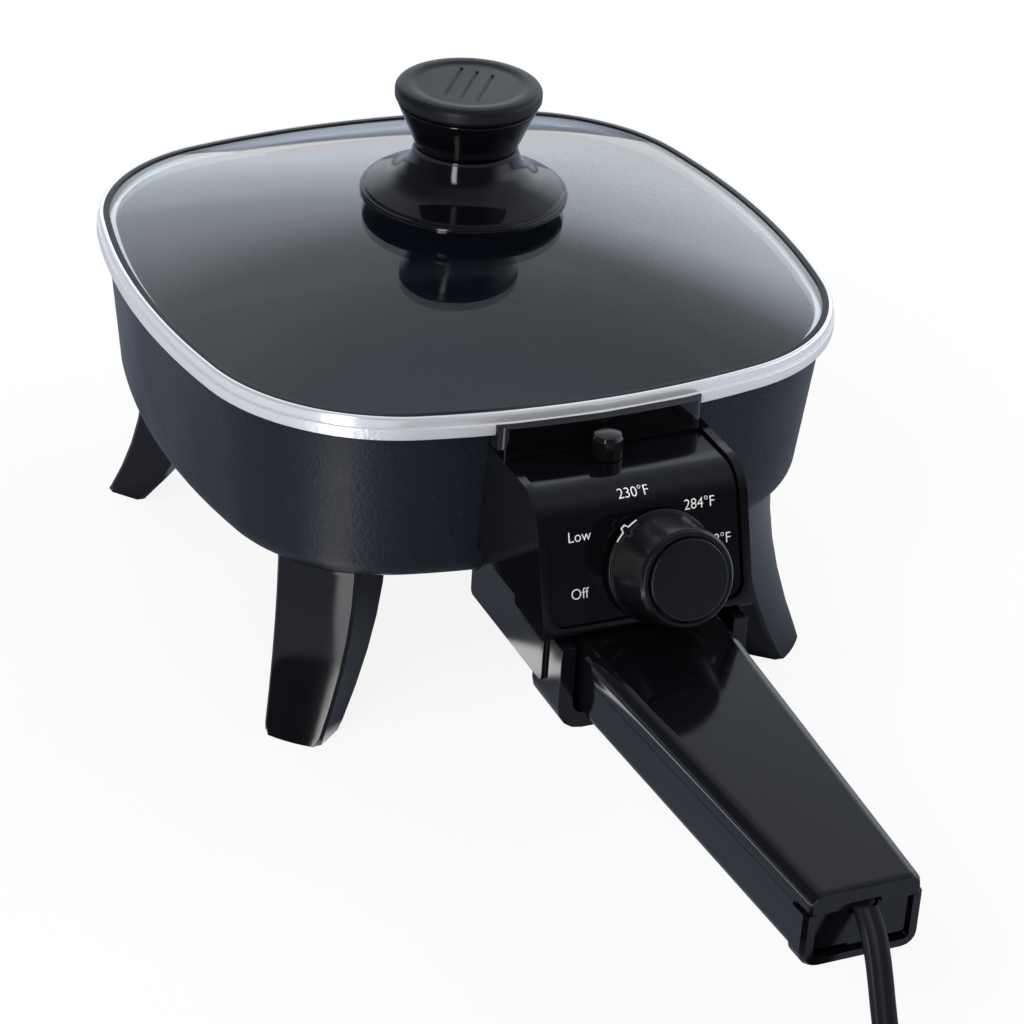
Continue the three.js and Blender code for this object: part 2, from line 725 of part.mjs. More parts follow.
function heatingElement() {
  const path = new THREE.CurvePath();
  const half = elementLoopHalf;
  const bend = elementLoopCorner;
  const end = elementEndApart / 2;
  const at = (x, y) => new THREE.Vector3(x, y, elementZ);
  const line = (a, b) => path.add(new THREE.LineCurve3(at(...a), at(...b)));
  const arc = (a, knee, b) => path.add(new THREE.QuadraticBezierCurve3(at(...a), at(...knee), at(...b)));
  const neck = (half - end) / 2;
  line([end, -elementEndReach], [end, -half - neck]);
  arc([end, -half - neck], [end, -half], [end + neck / 2, -half + neck / 4]);
  arc([end + neck / 2, -half + neck / 4], [half, -half + bend / 2], [half, 0]);
  line([half, 0], [half, half - bend]);
  arc([half, half - bend], [half, half], [half - bend, half]);
  line([half - bend, half], [bend - half, half]);
  arc([bend - half, half], [-half, half], [-half, half - bend]);
  line([-half, half - bend], [-half, 0]);
  arc([-half, 0], [-half, -half + bend / 2], [-end - neck / 2, -half + neck / 4]);
  arc([-end - neck / 2, -half + neck / 4], [-end, -half], [-end, -half - neck]);
  line([-end, -half - neck], [-end, -elementEndReach]);
  const points = path.getSpacedPoints(elementSteps);
  const rings = points.map((p, i) => {
    const along = points[Math.min(i + 1, elementSteps)].clone().sub(points[Math.max(i - 1, 0)]).normalize();
    const out = new THREE.Vector3(along.y, -along.x, 0);
    return Array.from({ length: elementSides }, (_, k) => {
      const angle = (2 * Math.PI * k) / elementSides;
      return p.clone().addScaledVector(out, elementRadius * Math.cos(angle))
        .add(new THREE.Vector3(0, 0, elementRadius * Math.sin(angle)));
    });
  });
  return loft(rings);
}
const elementSteps = 48;
const elementSides = 8;

const elementPin = (side) => closedBody(
  new THREE.CylinderGeometry(elementPinRadius, elementPinRadius, elementPinLength, smallRoundSteps)
    .translate((side * elementEndApart) / 2, -elementEndReach - fit - elementPinLength / 2, elementZ));

// A bent steel strip that holds the element up: it is drawn across X and turned to its place
function elementClamp(x, y, turn) {
  const inner = elementRadius + fit;
  const low = elementZ - inner;
  const high = panClearOfTable - fit;
  const wide = inner + clampSteel;
  const outline = [
    [-wide - clampFoot, high - clampSteel], [-wide, high - clampSteel], [-wide, low - clampSteel, clampSteel],
    [wide, low - clampSteel, clampSteel], [wide, high - clampSteel], [wide + clampFoot, high - clampSteel],
    [wide + clampFoot, high], [inner, high], [inner, low], [-inner, low], [-inner, high],
    [-wide - clampFoot, high]
  ];
  return prismY(outline, -clampWidth / 2, clampWidth / 2).rotateZ(turn).translate(x, y, 0);
}

// The front face of the control box leans back. These give its direction and points on it.
const boxFront = new THREE.Vector2(boxFrontTopY - boxFrontLowY, boxTopZ - boxFrontLowZ).normalize();
const boxFrontOut = new THREE.Vector2(-boxFront.y, boxFront.x);
const boxTilt = Math.atan2(boxFrontOut.y, -boxFrontOut.x);

// A point on the leaning face, at a height, moved in by a depth
function onFront(z, depth = 0) {
  const y = boxFrontLowY + ((z - boxFrontLowZ) * boxFront.x) / boxFront.y;
  return [y - depth * boxFrontOut.x, z - depth * boxFrontOut.y];
}

// Corner between the top and the leaning face, both moved in by a depth
function frontTopCorner(depth) {
  const z = boxTopZ - depth;
  const [y] = onFront(boxTopZ);
  return [y - (depth * (1 - boxFrontOut.y)) / boxFrontOut.x, z];
}

// Side outline of the box moved in by a depth, open towards the pan and the table
function boxOutline(depth, rearY, lowZ) {
  const [cornerY, cornerZ] = frontTopCorner(depth);
  const slope = boxFront.x / boxFront.y;
  return [
    [rearY, lowZ], [cornerY - (cornerZ - lowZ) * slope, lowZ],
    [cornerY, cornerZ, boxBendRadius - depth], [rearY, cornerZ]
  ];
}

// Where the dial's axis meets the face of the panel
const [dialPanelY, dialPanelZ] = onFront(boxFrontLowZ + dialUpFace * boxFront.y, cheekProud);

function dialBore(radius) {
  const rod = new THREE.CylinderGeometry(radius, radius, 2 * (panelThickness + panelBacking + cheekProud + overrun),
    smallRoundSteps);
  return closedBody(rod.rotateX(-boxTilt).translate(dialX, dialPanelY, dialPanelZ));
}

// The band of the box's skin that the panel fills, between two depths, with a clearance all round
function panelBand(outerDepth, innerDepth, half, clearance) {
  const below = boxFrontLowZ - boxHalfWidth;
  const body = prismX(boxOutline(outerDepth, panelRearY + clearance, boxFrontLowZ), -half, half);
  const core = prismX(boxOutline(innerDepth, panelRearY + overrun, below), -half - overrun, half + overrun);
  return common(cut(body, core), panelOutline(half, clearance));
}

// The panel's outline on the leaning face, rounded at its lower corners, carried square through the box
function panelOutline(half, clearance) {
  const [foot, round, reach] = [panelAboveFoot - clearance, panelCorner + clearance, boxTopZ];
  const corners = [[-half, foot, round], [half, foot, round], [half, reach], [-half, reach]];
  const turn = new THREE.Matrix4().makeBasis(new THREE.Vector3(1, 0, 0),
    new THREE.Vector3(0, boxFront.x, boxFront.y), new THREE.Vector3(0, -boxFront.y, boxFront.x));
  return prismZ(corners, -reach, reach).applyMatrix4(turn).translate(0, boxFrontLowY, boxFrontLowZ);
}

function controlCover() {
  const skirtFront = onFront(boxFrontLowZ);
  const [cornerY, cornerZ] = frontTopCorner(0);
  const shell = prismX([
    [boxRearY, boxSkirtZ], [boxSkirtY, boxSkirtZ], [boxSkirtY, boxFrontLowZ + cheekProud],
    [skirtFront[0], skirtFront[1], cheekProud], [cornerY, cornerZ, boxBendRadius], [boxRearY, boxTopZ]
  ], -boxHalfWidth, boxHalfWidth);
  const depth = cheekProud + panelThickness + panelBacking;
  const hollowHalf = boxHalfWidth - boxWall;
  const hollow = prismX(boxOutline(depth, boxCavityRearY, boxFrontLowZ - overrun), -hollowHalf, hollowHalf);
  const recess = panelBand(-overrun, cheekProud + panelThickness + fit, panelHalfWidth + fit, fit);
  const bosses = [-1, 1].map((side) => {
    const x = (side * housingScrewApart) / 2;
    const low = strapTopZ + fit;
    const stem = post(x, housingScrewY, bossRadius, low, boxTopZ - depth + weld);
    return cut(stem, post(x, housingScrewY, screwRadius, low - overrun, low + 2 * bossRadius));
  });
  const hollowed = join(cut(shell, hollow), ...bosses);
  return cut(join(hollowed, bridge()), recess, panPlug(fit), dialBore(bushingRadius + fit),
    post(lampX, lampY, lampRadius - lampRound + fit, boxTopZ - depth - overrun, boxTopZ + overrun));
}

// The upstand at the rear of the cover, which follows the pan's lip and hides it
function bridge() {
  const outer = sideRadius + bridgeProud;
  const reach = Math.asin(bridgeHalfWidth / outer);
  const inner = sideRadius - lipStepIn;
  const middle = sideCentre;
  const shape = new THREE.Shape();
  const at = (radius, angle) => [radius * Math.sin(angle), middle - radius * Math.cos(angle)];
  shape.moveTo(...at(inner, -reach));
  shape.quadraticCurveTo(...at(outer, -reach), ...at(outer, -reach * bridgeEndShare));
  shape.absarc(0, middle, outer, -Math.PI / 2 - reach * bridgeEndShare, -Math.PI / 2 + reach * bridgeEndShare, false);
  shape.quadraticCurveTo(...at(outer, reach), ...at(inner, reach));
  shape.closePath();
  const solid = new THREE.ExtrudeGeometry(shape,
    { depth: lipTopZ + bridgeFoot - boxTopZ, bevelEnabled: false, curveSegments: 2 * arcSteps });
  return closedBody(solid.translate(0, 0, boxTopZ - bridgeFoot));
}
const bridgeEndShare = 0.84;

function dialPanel() {
  const depth = cheekProud;
  const band = panelBand(depth, depth + panelThickness, panelHalfWidth, 0);
  return cut(band, dialBore(bushingRadius + fit),
    post(lampX, lampY, lampRadius - lampRound + fit, boxTopZ - depth - panelThickness - overrun, boxTopZ + overrun));
}

// Steel strap from the pan's bosses through the lower housing into the handle
const strapTopZ = panClearOfTable - strapBossDrop - fit;
const strapLowZ = strapTopZ - strapSteel;

function mountingStrap() {
  const ear = housingScrewApart / 2 + bossRadius;
  const outline = [
    [strapHalfWidth, strapRearY, strapNoseHalf], [strapHalfWidth, housingScrewY + bossRadius],
    [ear, housingScrewY + bossRadius, bossRadius / 2], [ear, housingScrewY - bossRadius, bossRadius / 2],
    [strapHalfWidth, housingScrewY - bossRadius], [strapNoseHalf, socketFrontY], [strapNoseHalf, strapFrontY, bossRadius],
    [-strapNoseHalf, strapFrontY, bossRadius], [-strapNoseHalf, socketFrontY], [-strapHalfWidth, housingScrewY - bossRadius],
    [-ear, housingScrewY - bossRadius, bossRadius / 2], [-ear, housingScrewY + bossRadius, bossRadius / 2],
    [-strapHalfWidth, housingScrewY + bossRadius], [-strapHalfWidth, strapRearY, strapNoseHalf]
  ];
  const hole = (x, y) => post(x, y, screwRadius + fit, strapLowZ - overrun, strapTopZ + overrun);
  return cut(prismZ(outline, strapLowZ, strapTopZ),
    hole(strapBossApart / 2, -strapBossFromCentre), hole(-strapBossApart / 2, -strapBossFromCentre),
    hole(housingScrewApart / 2, housingScrewY), hole(-housingScrewApart / 2, housingScrewY),
    hole(0, handleScrewY[0]));
}

const strapScrew = (side) => screw((side * strapBossApart) / 2, -strapBossFromCentre, strapLowZ - fit,
  screwHeadRadius, screwHeadHeight, screwRadius, strapTopZ + fit + strapBossDrop - fit);

// Lower housing: a shallow tray under the box with the socket of the handle at its front
const trayTopFrontZ = boxFrontLowZ - fit;
const socketHalf = handleRootHalf + fit;
const socketLowZ = handleRootLowZ - fit - socketFloor;

function controlBase() {
  const outer = prismX([
    [baseRearY, baseFloorZ, baseWall], [baseFrontY, baseFloorZ, baseWall], [baseFrontY, trayTopFrontZ],
    [boxSkirtY + fit, trayTopFrontZ], [boxSkirtY + fit, boxSkirtZ - fit], [boxRearY, boxSkirtZ - fit],
    [baseRearY, panClearOfTable]
  ], -baseHalfWidth, baseHalfWidth);
  const socket = prismY(
    [[-socketHalf - socketWall, socketLowZ, socketCorner], [socketHalf + socketWall, socketLowZ, socketCorner],
      [socketHalf + socketWall, socketTopZ], [-socketHalf - socketWall, socketTopZ]], socketFrontY, socketRearY);
  const inside = baseHalfWidth - baseWall;
  const hollow = block(-inside, inside, socketRearY + baseWall, baseRearY - baseWall,
    baseFloorZ + baseWall, boxSkirtZ + overrun);
  const mouth = prismY([[-socketHalf, handleRootLowZ - fit, handleEdge], [socketHalf, handleRootLowZ - fit, handleEdge],
    [socketHalf, boxSkirtZ], [-socketHalf, boxSkirtZ]], socketFrontY - overrun, handleRootY + fit);
  const window = block(-strapHalfWidth - fit, strapHalfWidth + fit, handleRootY - overrun, socketRearY + 2 * overrun,
    strapLowZ - fit, boxFrontLowZ);
  const slots = [-1, 1].map((side) => {
    const x = (side * elementEndApart) / 2;
    const half = elementRadius + fit;
    return block(x - half, x + half, baseRearY - baseWall - overrun, baseRearY + overrun,
      elementZ - elementRadius - fit, boxSkirtZ);
  });
  const strapSlot = block(-strapHalfWidth - fit, strapHalfWidth + fit, baseRearY - baseWall - overrun,
    baseRearY + overrun, strapLowZ - fit, boxSkirtZ);
  const solid = cut(join(outer, socket), hollow, mouth, window, ...slots, strapSlot, panPlug(fit));
  const bosses = [-1, 1].map((side) => post((side * housingScrewApart) / 2, housingScrewY, bossRadius,
    baseFloorZ + weld, strapLowZ - fit));
  const bores = [-1, 1].flatMap((side) => {
    const x = (side * housingScrewApart) / 2;
    return [post(x, housingScrewY, screwRadius + fit, baseFloorZ - overrun, boxSkirtZ),
      post(x, housingScrewY, screwHeadRadius + fit, baseFloorZ - overrun, baseFloorZ + screwHeadHeight + fit)];
  });
  return cut(join(solid, ...bosses), ...bores);
}

const housingScrew = (side) => screw((side * housingScrewApart) / 2, housingScrewY,
  baseFloorZ + screwHeadHeight, screwHeadRadius, screwHeadHeight, screwRadius - fit, strapTopZ + fit + bossRadius);

// Handle: two moulded halves round one tapered hollow
const handleShare = (y) => (handleRootY - y) / (handleRootY - handleEndY);
const along = (root, end, y) => root + (end - root) * handleShare(y);

function handleRing(y, inset) {
  const half = along(handleRootHalf, handleEndHalf, y) - inset;
  const low = along(handleRootLowZ, handleEndLowZ, y) + inset;
  const high = along(handleRootTopZ, handleEndTopZ, y) - inset;
  const radius = Math.max(handleEdge - inset, handleEdge / 4);
  const ring = [];
  const corners = [[half, low], [half, high], [-half, high], [-half, low]];
  for (const [corner, [x, z]] of corners.entries()) {
    for (let i = 0; i <= arcSteps; i++) {
      const angle = ((corner - 1 + i / arcSteps) * Math.PI) / 2;
      ring.push(new THREE.Vector3(
        x - Math.sign(x) * radius + radius * Math.cos(angle), y,
        z + (z === low ? radius : -radius) + radius * Math.sin(angle)));
    }
  }
  return ring;
}

function handleShell() {
  const lipY = handleEndY + handleLipLength;
  const outside = loft([
    handleRing(handleRootY, 0), handleRing(handleEndY + handleNose, 0), handleRing(handleEndY, handleNose / 2)]);
  const inside = loft([
    handleRing(handleRootY + overrun, handleWall), handleRing(handleEndY + handleWall + endPlateRecess, handleWall)]);
  const flare = loft([
    handleRing(lipY, -weld), handleRing(lipY - handleLipProud, -handleLipProud),
    handleRing(handleEndY + handleNose, -handleLipProud), handleRing(handleEndY, 0)]);
  const lowFlare = common(flare, halfSpace(-1));
  const notch = block(-notchHalfWidth, notchHalfWidth, handleEndY - overrun, handleEndY + 2 * handleWall + endPlateRecess,
    partingEndZ - notchHeight / 2, partingEndZ + notchHeight / 3);
  const recess = common(loft([handleRing(handleEndY - overrun, endPlateBorder),
    handleRing(handleEndY + endPlateRecess, endPlateBorder)]), halfSpace(-1));
  return cut(join(outside, lowFlare), inside, notch, recess);
}

// Everything above (side 1) or below (side -1) the sloping parting surface, less half the gap
function halfSpace(side) {
  const far = handleRootHalf;
  const [rootY, endY] = [handleRootY + overrun, handleEndY - overrun];
  const [rootZ, endZ] = [along(partingRootZ, partingEndZ, rootY), along(partingRootZ, partingEndZ, endY)];
  const gap = (side * fit) / 2;
  return prismX([[endY, endZ + gap], [rootY, rootZ + gap], [rootY, rootZ + side * far], [endY, endZ + side * far]],
    -2 * handleRootHalf, 2 * handleRootHalf);
}

function handleTop() {
  const bosses = handleScrewY.map((y, i) => {
    const low = i === 0 ? strapTopZ + fit : along(partingRootZ, partingEndZ, y) + fit / 2;
    const high = along(handleRootTopZ, handleEndTopZ, y) - handleWall / 2;
    return cut(post(0, y, handleBossRadius, low, high), post(0, y, screwRadius, low - overrun, low + 2 * screwHeadHeight));
  });
  return join(common(handleShell(), halfSpace(1)), ...bosses);
}

function handleBottom() {
  const half = common(handleShell(), halfSpace(-1));
  const bosses = handleScrewY.map((y, i) => post(0, y, handleBossRadius + fit,
    along(handleRootLowZ, handleEndLowZ, y) + handleWall / 2,
    i === 0 ? strapLowZ - fit : along(partingRootZ, partingEndZ, y) - fit / 2));
  const bores = handleScrewY.flatMap((y) => {
    const low = along(handleRootLowZ, handleEndLowZ, y);
    return [post(0, y, screwRadius + fit, low - overrun, handleRootTopZ),
      post(0, y, screwHeadRadius + fit, low - overrun, low + screwHeadHeight + fit)];
  });
  const slots = [-1, 1].map((side) => {
    const x = side * handleEndHalf * slotShare;
    const low = handleEndLowZ + handleWall;
    return block(x - 2 * handleWall, x + 2 * handleWall, handleEndY - overrun,
      handleEndY + 2 * handleWall + endPlateRecess, low, low + handleNose);
  });
  return cut(join(half, ...bosses), ...bores, ...slots);
}
const slotShare = 0.5;

const handleScrew = (i) => {
  const y = handleScrewY[i];
  const low = along(handleRootLowZ, handleEndLowZ, y) + screwHeadHeight;
  const tip = (i === 0 ? strapTopZ : along(partingRootZ, partingEndZ, y)) + fit + screwHeadHeight;
  return screw(0, y, low, screwHeadRadius, screwHeadHeight, screwRadius - fit, tip);
};

// Dial and thermostat pieces stand on the dial's axis, with z = 0 at the face of the panel
function dialKnob() {
  const well = dialCapThickness - dialCapProud;
  return revolve([
    [shaftRadius + fit, dialClear], [dialSkirtRadius, dialClear], [dialSkirtRadius, dialClear + dialSkirtThickness],
    [dialRadiusBase, dialClear + dialSkirtThickness], [dialRadiusFront + dialRing / 4, dialClear + dialHeight * dialWaistShare],
    [dialRadiusFront, dialClear + dialHeight - dialRing / 2], [dialRadiusFront - dialRing / 2, dialClear + dialHeight],
    [dialCapRadius + fit, dialClear + dialHeight], [dialCapRadius + fit, dialClear + dialHeight - well],
    [0, dialClear + dialHeight - well], [0, shaftReach + fit], [shaftRadius + fit, shaftReach + fit],
    [shaftRadius + fit, dialClear]
  ]);
}

function dialKnobCap() {
  const low = dialClear + dialHeight - dialCapThickness + dialCapProud + fit;
  const high = low + dialCapThickness - fit;
  return revolve([[0, low], [dialCapRadius, low], [dialCapRadius, high - dialRing / 2],
    [dialCapRadius - dialRing / 2, high], [0, high]]);
}

const bushingLow = -(panelThickness + panelBacking + fit + bushingNutThickness);
const frameTopZ = bushingLow - fit;
const thermostatShaft = () => revolve([[0, frameTopZ - frameDepth + fit],
  [shaftRadius - runningFit, frameTopZ - frameDepth + fit],
  [shaftRadius - runningFit, shaftReach], [0, shaftReach]], smallRoundSteps);
function thermostatBushing() {
  const nut = bushingRadius * bushingNutShare;
  const backZ = -(panelThickness + panelBacking + 2 * fit);
  return revolve([[shaftRadius, bushingLow], [nut, bushingLow], [nut, backZ], [bushingRadius, backZ],
    [bushingRadius, bushingProud], [shaftRadius, bushingProud], [shaftRadius, bushingLow]], smallRoundSteps);
}

function thermostatFrame() {
  const plate = block(-frameWidth / 2, frameWidth / 2, -frameBelowShaft, frameLength - frameBelowShaft,
    frameTopZ - frameSteel, frameTopZ);
  const cheek = (side) => block(side > 0 ? frameWidth / 2 - frameSteel : -frameWidth / 2,
    side > 0 ? frameWidth / 2 : frameSteel - frameWidth / 2, -frameBelowShaft, frameLength / 6,
    frameTopZ - frameDepth, frameTopZ - frameSteel / 2);
  return cut(join(plate, cheek(1), cheek(-1)),
    post(0, 0, shaftRadius + fit, frameTopZ - frameSteel - overrun, frameTopZ + overrun));
}

// Blades are stacked on one insulated column at the lower end of the frame
const stackY = -frameBelowShaft + stackRadius + fit;
const bladeLevel = (level) => frameTopZ - frameSteel - fit - stackHeight - level * (bladeSteel + stackHeight + 2 * fit);
function spacer(level) {
  const high = bladeLevel(level) + stackHeight;
  return post(0, stackY, stackRadius, high - stackHeight, high);
}
function bladeStrip(level, length) {
  const high = bladeLevel(level) - fit;
  const strip = block(-bladeWidth / 2, bladeWidth / 2, stackY - stackRadius, stackY - stackRadius + length,
    high - bladeSteel, high);
  return cut(strip, post(0, 0, shaftRadius + fit, high - bladeSteel - overrun, high + overrun));
}

// Pilot lamp
function indicatorLens() {
  const low = boxTopZ - cheekProud + fit;
  const top = low + lampHeight;
  return revolve([
    [neonRadius + fit, low - lampStem - panelThickness], [lampRadius - lampRound, low - lampStem - panelThickness],
    [lampRadius - lampRound, low], [lampRadius, low], [lampRadius, top - lampRound], [lampRadius - lampRound / 2, top - lampRound / 4],
    [lampRadius - 2 * lampRound, top], [0, top], [0, top - lampRound], [neonRadius + fit - lampRound, top - lampRound],
    [neonRadius + fit, top - 2 * lampRound], [neonRadius + fit, low - lampStem - panelThickness]
  ], smallRoundSteps).translate(lampX, lampY, 0);
}

function neonLamp() {
  const high = boxTopZ - cheekProud + lampHeight - 2 * lampRound;
  return revolve([[0, high - neonLength], [neonRadius, high - neonLength], [neonRadius, high - neonRadius],
    [neonRadius / 2, high], [0, high]], smallRoundSteps).translate(lampX, lampY, 0);
}

// The cord's run inside the handle, clamped by a bar near the end
const leadZ = partingEndZ - fit;
const nearEnd = [
  [0, endPlateRecess, leadZ], [0, 7, leadZ], [0.5, 11, leadZ], [4, 15, 46.6], [8.5, 20, 45.2], [9, 41, 44]
];
const nearRoot = [
  [9, -58.2, 44], [9, -38.2, 45.2], [9.5, -24.2, 48.2], [9.5, -12.2, 49.2], [9.5, -0.2, 49.4],
  [9.5, 11.8, 50.2], [8, 21.3, 51.5]
];
const shiftedY = (route, y) => route.map(([x, y0, z]) => [x, y + y0, z]);
const supplySteps = 40;
const supplyLead = () => flatCord([...shiftedY(nearEnd, handleEndY), ...shiftedY(nearRoot, handleRootY)], supplySteps);

// A bar across the cord holds it down on the floor of the handle
function cordClamp() {
  const low = leadZ + cordThickness / 2 + fit;
  return prismY(rectangle(-clampBarHalf, clampBarHalf, low, low + clampBarThickness, clampBarThickness / 3),
    clampBarY - clampBarWidth / 2, clampBarY + clampBarWidth / 2);
}

// The free stretch of cord hangs from the notch to the table
const coilLowZ = tieSteel + tieGap;
const cordRoute = shiftedY([
  [0, -0.3, 47.4], [0, -4.2, 43.9], [0, -7.5, 39.2], [0, -10.1, 34.0], [0, -12.5, 28.6],
  [0, -15.0, 23.4], [0, -18.0, 18.4], [0, -21.5, 13.8], [0, -26.0, 9.3], [0, -31.4, 5.9],
  [0, -37.5, 3.6], [0, -44.0, 2.65], [0, -50.0, 2.55]
], handleEndY);
const cordSteps = 26;
const powerCord = () => flatCord(cordRoute, cordSteps);

// The rest of the cord lies in a coil of two layers: it winds in, climbs a layer and winds out.
const coilStart = new THREE.Vector3(0, cordRoute[cordRoute.length - 1][1] - fit, 0);
const coilMiddle = new THREE.Vector3(-coilRadius - coilEntryExtra, coilStart.y - cordWidth, 0);
const smooth = (t) => THREE.MathUtils.smoothstep(t, 0, 1);

function coilStations() {
  const climb = climbShare;
  const turns = 2 * coilTurnsIn + climb;
  const layer = cordWidth + coilLayerGap;
  const flatHigh = (upright) => Math.hypot(Math.cos((upright * Math.PI) / 2) * cordThickness,
    Math.sin((upright * Math.PI) / 2) * cordWidth) / 2;
  const stations = [{ at: new THREE.Vector3(0, coilStart.y, coilLowZ + cordThickness / 2), upright: 0, heading: -Math.PI / 2 }];
  for (let i = 0; i <= turns * coilSteps; i++) {
    const t = i / coilSteps;
    const inner = coilRadius - coilPitch * coilTurnsIn;
    const late = t - coilTurnsIn;
    let radius = coilRadius - coilPitch * t;
    if (late > climb) radius = inner + coilPitch * (late - climb);
    else if (late > 0) radius = inner - coilPitch * late + (coilPitch * late * late) / climb;
    const dipShare = (late + dipLeadShare) / (climb + 2 * dipLeadShare);
    if (dipShare > 0 && dipShare < 1) radius -= coilDip * Math.sin(Math.PI * dipShare) ** 2;
    radius += coilEntryExtra * (1 - smooth(4 * t));
    const upright = smooth(4 * t);
    const angle = -2 * Math.PI * t;
    stations.push({
      at: new THREE.Vector3(coilMiddle.x + radius * Math.cos(angle), coilMiddle.y + radius * Math.sin(angle),
        coilLowZ + flatHigh(upright) + layer * smooth(late / climb)),
      upright, heading: angle - Math.PI / 2
    });
  }
  const last = stations[stations.length - 1].at;
  for (let i = 1; i <= tailSteps; i++) {
    const share = i / tailSteps;
    const down = smooth((share - tailDropShare) / (1 - tailDropShare));
    stations.push({
      at: new THREE.Vector3(last.x, last.y + tailLength * share, last.z + (plugThickness / 2 - last.z) * down),
      upright: 1 - smooth((share - tailTurnShare) / (1 - 2 * tailTurnShare)), heading: Math.PI / 2
    });
  }
  return stations;
}
const tailSteps = 8;

function cordCoil() {
  const stations = coilStations();
  const rings = stations.map(({ at, upright, heading }) =>
    cordRing(at, new THREE.Vector3(Math.cos(heading), Math.sin(heading), 0), upright));
  console.log('least gap of the coil to itself', leastGap(rings).toFixed(2), 'mm');
  return loft(rings);
}

// Least distance between points of turns that lie more than half a turn apart
function leastGap(rings) {
  let least = Infinity;
  for (let i = 0; i < rings.length; i++) {
    for (let j = i + coilSteps / 2; j < rings.length; j++) {
      for (const p of rings[i]) for (const q of rings[j]) least = Math.min(least, p.distanceTo(q));
    }
  }
  return least;
}

function cordTie() {
  const layer = cordWidth + coilLayerGap;
  const outer = coilRadius - coilPitch / 4 + cordThickness / 2 + tieGap;
  const inner = coilRadius - (5 * coilPitch) / 4 - cordThickness / 2 - tieGap;
  const high = coilLowZ + layer + cordWidth + tieGap;
  const [back, front] = [coilMiddle.y - inner, coilMiddle.y - outer];
  const band = prismX(rectangle(front - tieSteel, back + tieSteel, 0, high + tieSteel, tieSteel),
    coilMiddle.x - tieLength / 2, coilMiddle.x + tieLength / 2);
  return cut(band, block(coilMiddle.x - tieLength, coilMiddle.x + tieLength, front, back, tieSteel, high));
}

// Two-pin plug at the cord's far end, lying flat beside the coil
function plugBody() {
  const end = coilStations().at(-1).at;
  const y0 = end.y + fit;
  const reliefShares = [[0, 0.36, 0.42], [0.5, 0.42, 0.5], [1, 0.55, 0.66]];
  const bodyShares = [[0.06, 0.8, 0.92], [0.3, 1, 1], [0.8, 1, 1], [1, 0.92, 0.9]];
  const sections = [
    ...reliefShares.map(([s, w, h]) => [y0 + reliefLength * s, w, h]),
    ...bodyShares.map(([s, w, h]) => [y0 + reliefLength + plugLength * s, w, h])];
  return loft(sections.map(([y, w, h]) => ovalRing(end.x, y, plugHalfWidth * w, (plugThickness / 2) * h)));
}

function ovalRing(x, y, half, high) {
  return Array.from({ length: roundSteps / 2 }, (_, i) => {
    const angle = (4 * Math.PI * i) / roundSteps;
    const square = (v) => Math.sign(v) * Math.sqrt(Math.abs(v));
    return new THREE.Vector3(x + half * square(Math.cos(angle)), y, plugThickness / 2 + high * square(Math.sin(angle)));
  });
}

function plugBlade(side, wide) {
  const end = coilStations().at(-1).at;
  const y = end.y + fit + reliefLength + plugLength + fit;
  const x = end.x + (side * bladeApart) / 2;
  const z = plugThickness / 2;
  return block(x - pinThickness / 2, x + pinThickness / 2, y, y + pinLength, z - wide / 2, z + wide / 2);
}

// The skillet: every mesh has its own name and finish
const skillet = new THREE.Group();
const parts = new THREE.Group();
const backY = halfWidth + lipProud;
parts.position.y = -(backY + handleEndY) / 2;
skillet.add(parts);

function add(name, geometry, finish, parent = parts) {
  const mesh = new THREE.Mesh(closedBody(geometry), finish);
  mesh.name = name;
  parent.add(mesh);
}

add('pan_body', panBody(), finishes.coating);
add('heating_element', heatingElement(), finishes.steel);
add('element_pin_left', elementPin(-1), finishes.steel);
add('element_pin_right', elementPin(1), finishes.steel);
add('element_clamp_left', elementClamp(-elementLoopHalf, elementLoopHalf / 3, 0), finishes.steel);
add('element_clamp_right', elementClamp(elementLoopHalf, elementLoopHalf / 3, 0), finishes.steel);
add('element_clamp_rear', elementClamp(0, elementLoopHalf, Math.PI / 2), finishes.steel);
['front_left', 'front_right', 'rear_right', 'rear_left'].forEach((corner, i) => {
  add(`leg_${corner}`, leg(diagonals[i]), finishes.phenolic);
  add(`leg_screw_${corner}`, legScrew(diagonals[i]), finishes.steel);
});

add('mounting_strap', mountingStrap(), finishes.steel);
add('strap_screw_left', strapScrew(-1), finishes.steel);
add('strap_screw_right', strapScrew(1), finishes.steel);
add('control_cover', controlCover(), finishes.phenolic);
add('control_base', controlBase(), finishes.phenolic);
add('housing_screw_left', housingScrew(-1), finishes.steel);
add('housing_screw_right', housingScrew(1), finishes.steel);
add('dial_panel', dialPanel(), finishes.phenolic);
add('indicator_lens', indicatorLens(), finishes.satin);
add('neon_lamp', neonLamp(), finishes.neon);

const dial = new THREE.Group();
dial.position.set(dialX, dialPanelY, dialPanelZ);
dial.rotation.x = Math.PI / 2 - boxTilt;
parts.add(dial);
add('dial_knob', dialKnob(), finishes.satin, dial);
add('dial_knob_cap', dialKnobCap(), finishes.satin, dial);
add('thermostat_shaft', thermostatShaft(), finishes.steel, dial);
add('thermostat_bushing', thermostatBushing(), finishes.brass, dial);
add('thermostat_frame', thermostatFrame(), finishes.steel, dial);
add('bimetal_blade', bladeStrip(0, bladeLength), finishes.brass, dial);
add('contact_blade', bladeStrip(1, bladeLength * contactBladeShare), finishes.brass, dial);
add('ceramic_spacer_upper', spacer(0), finishes.ceramic, dial);
add('ceramic_spacer_lower', spacer(1), finishes.ceramic, dial);

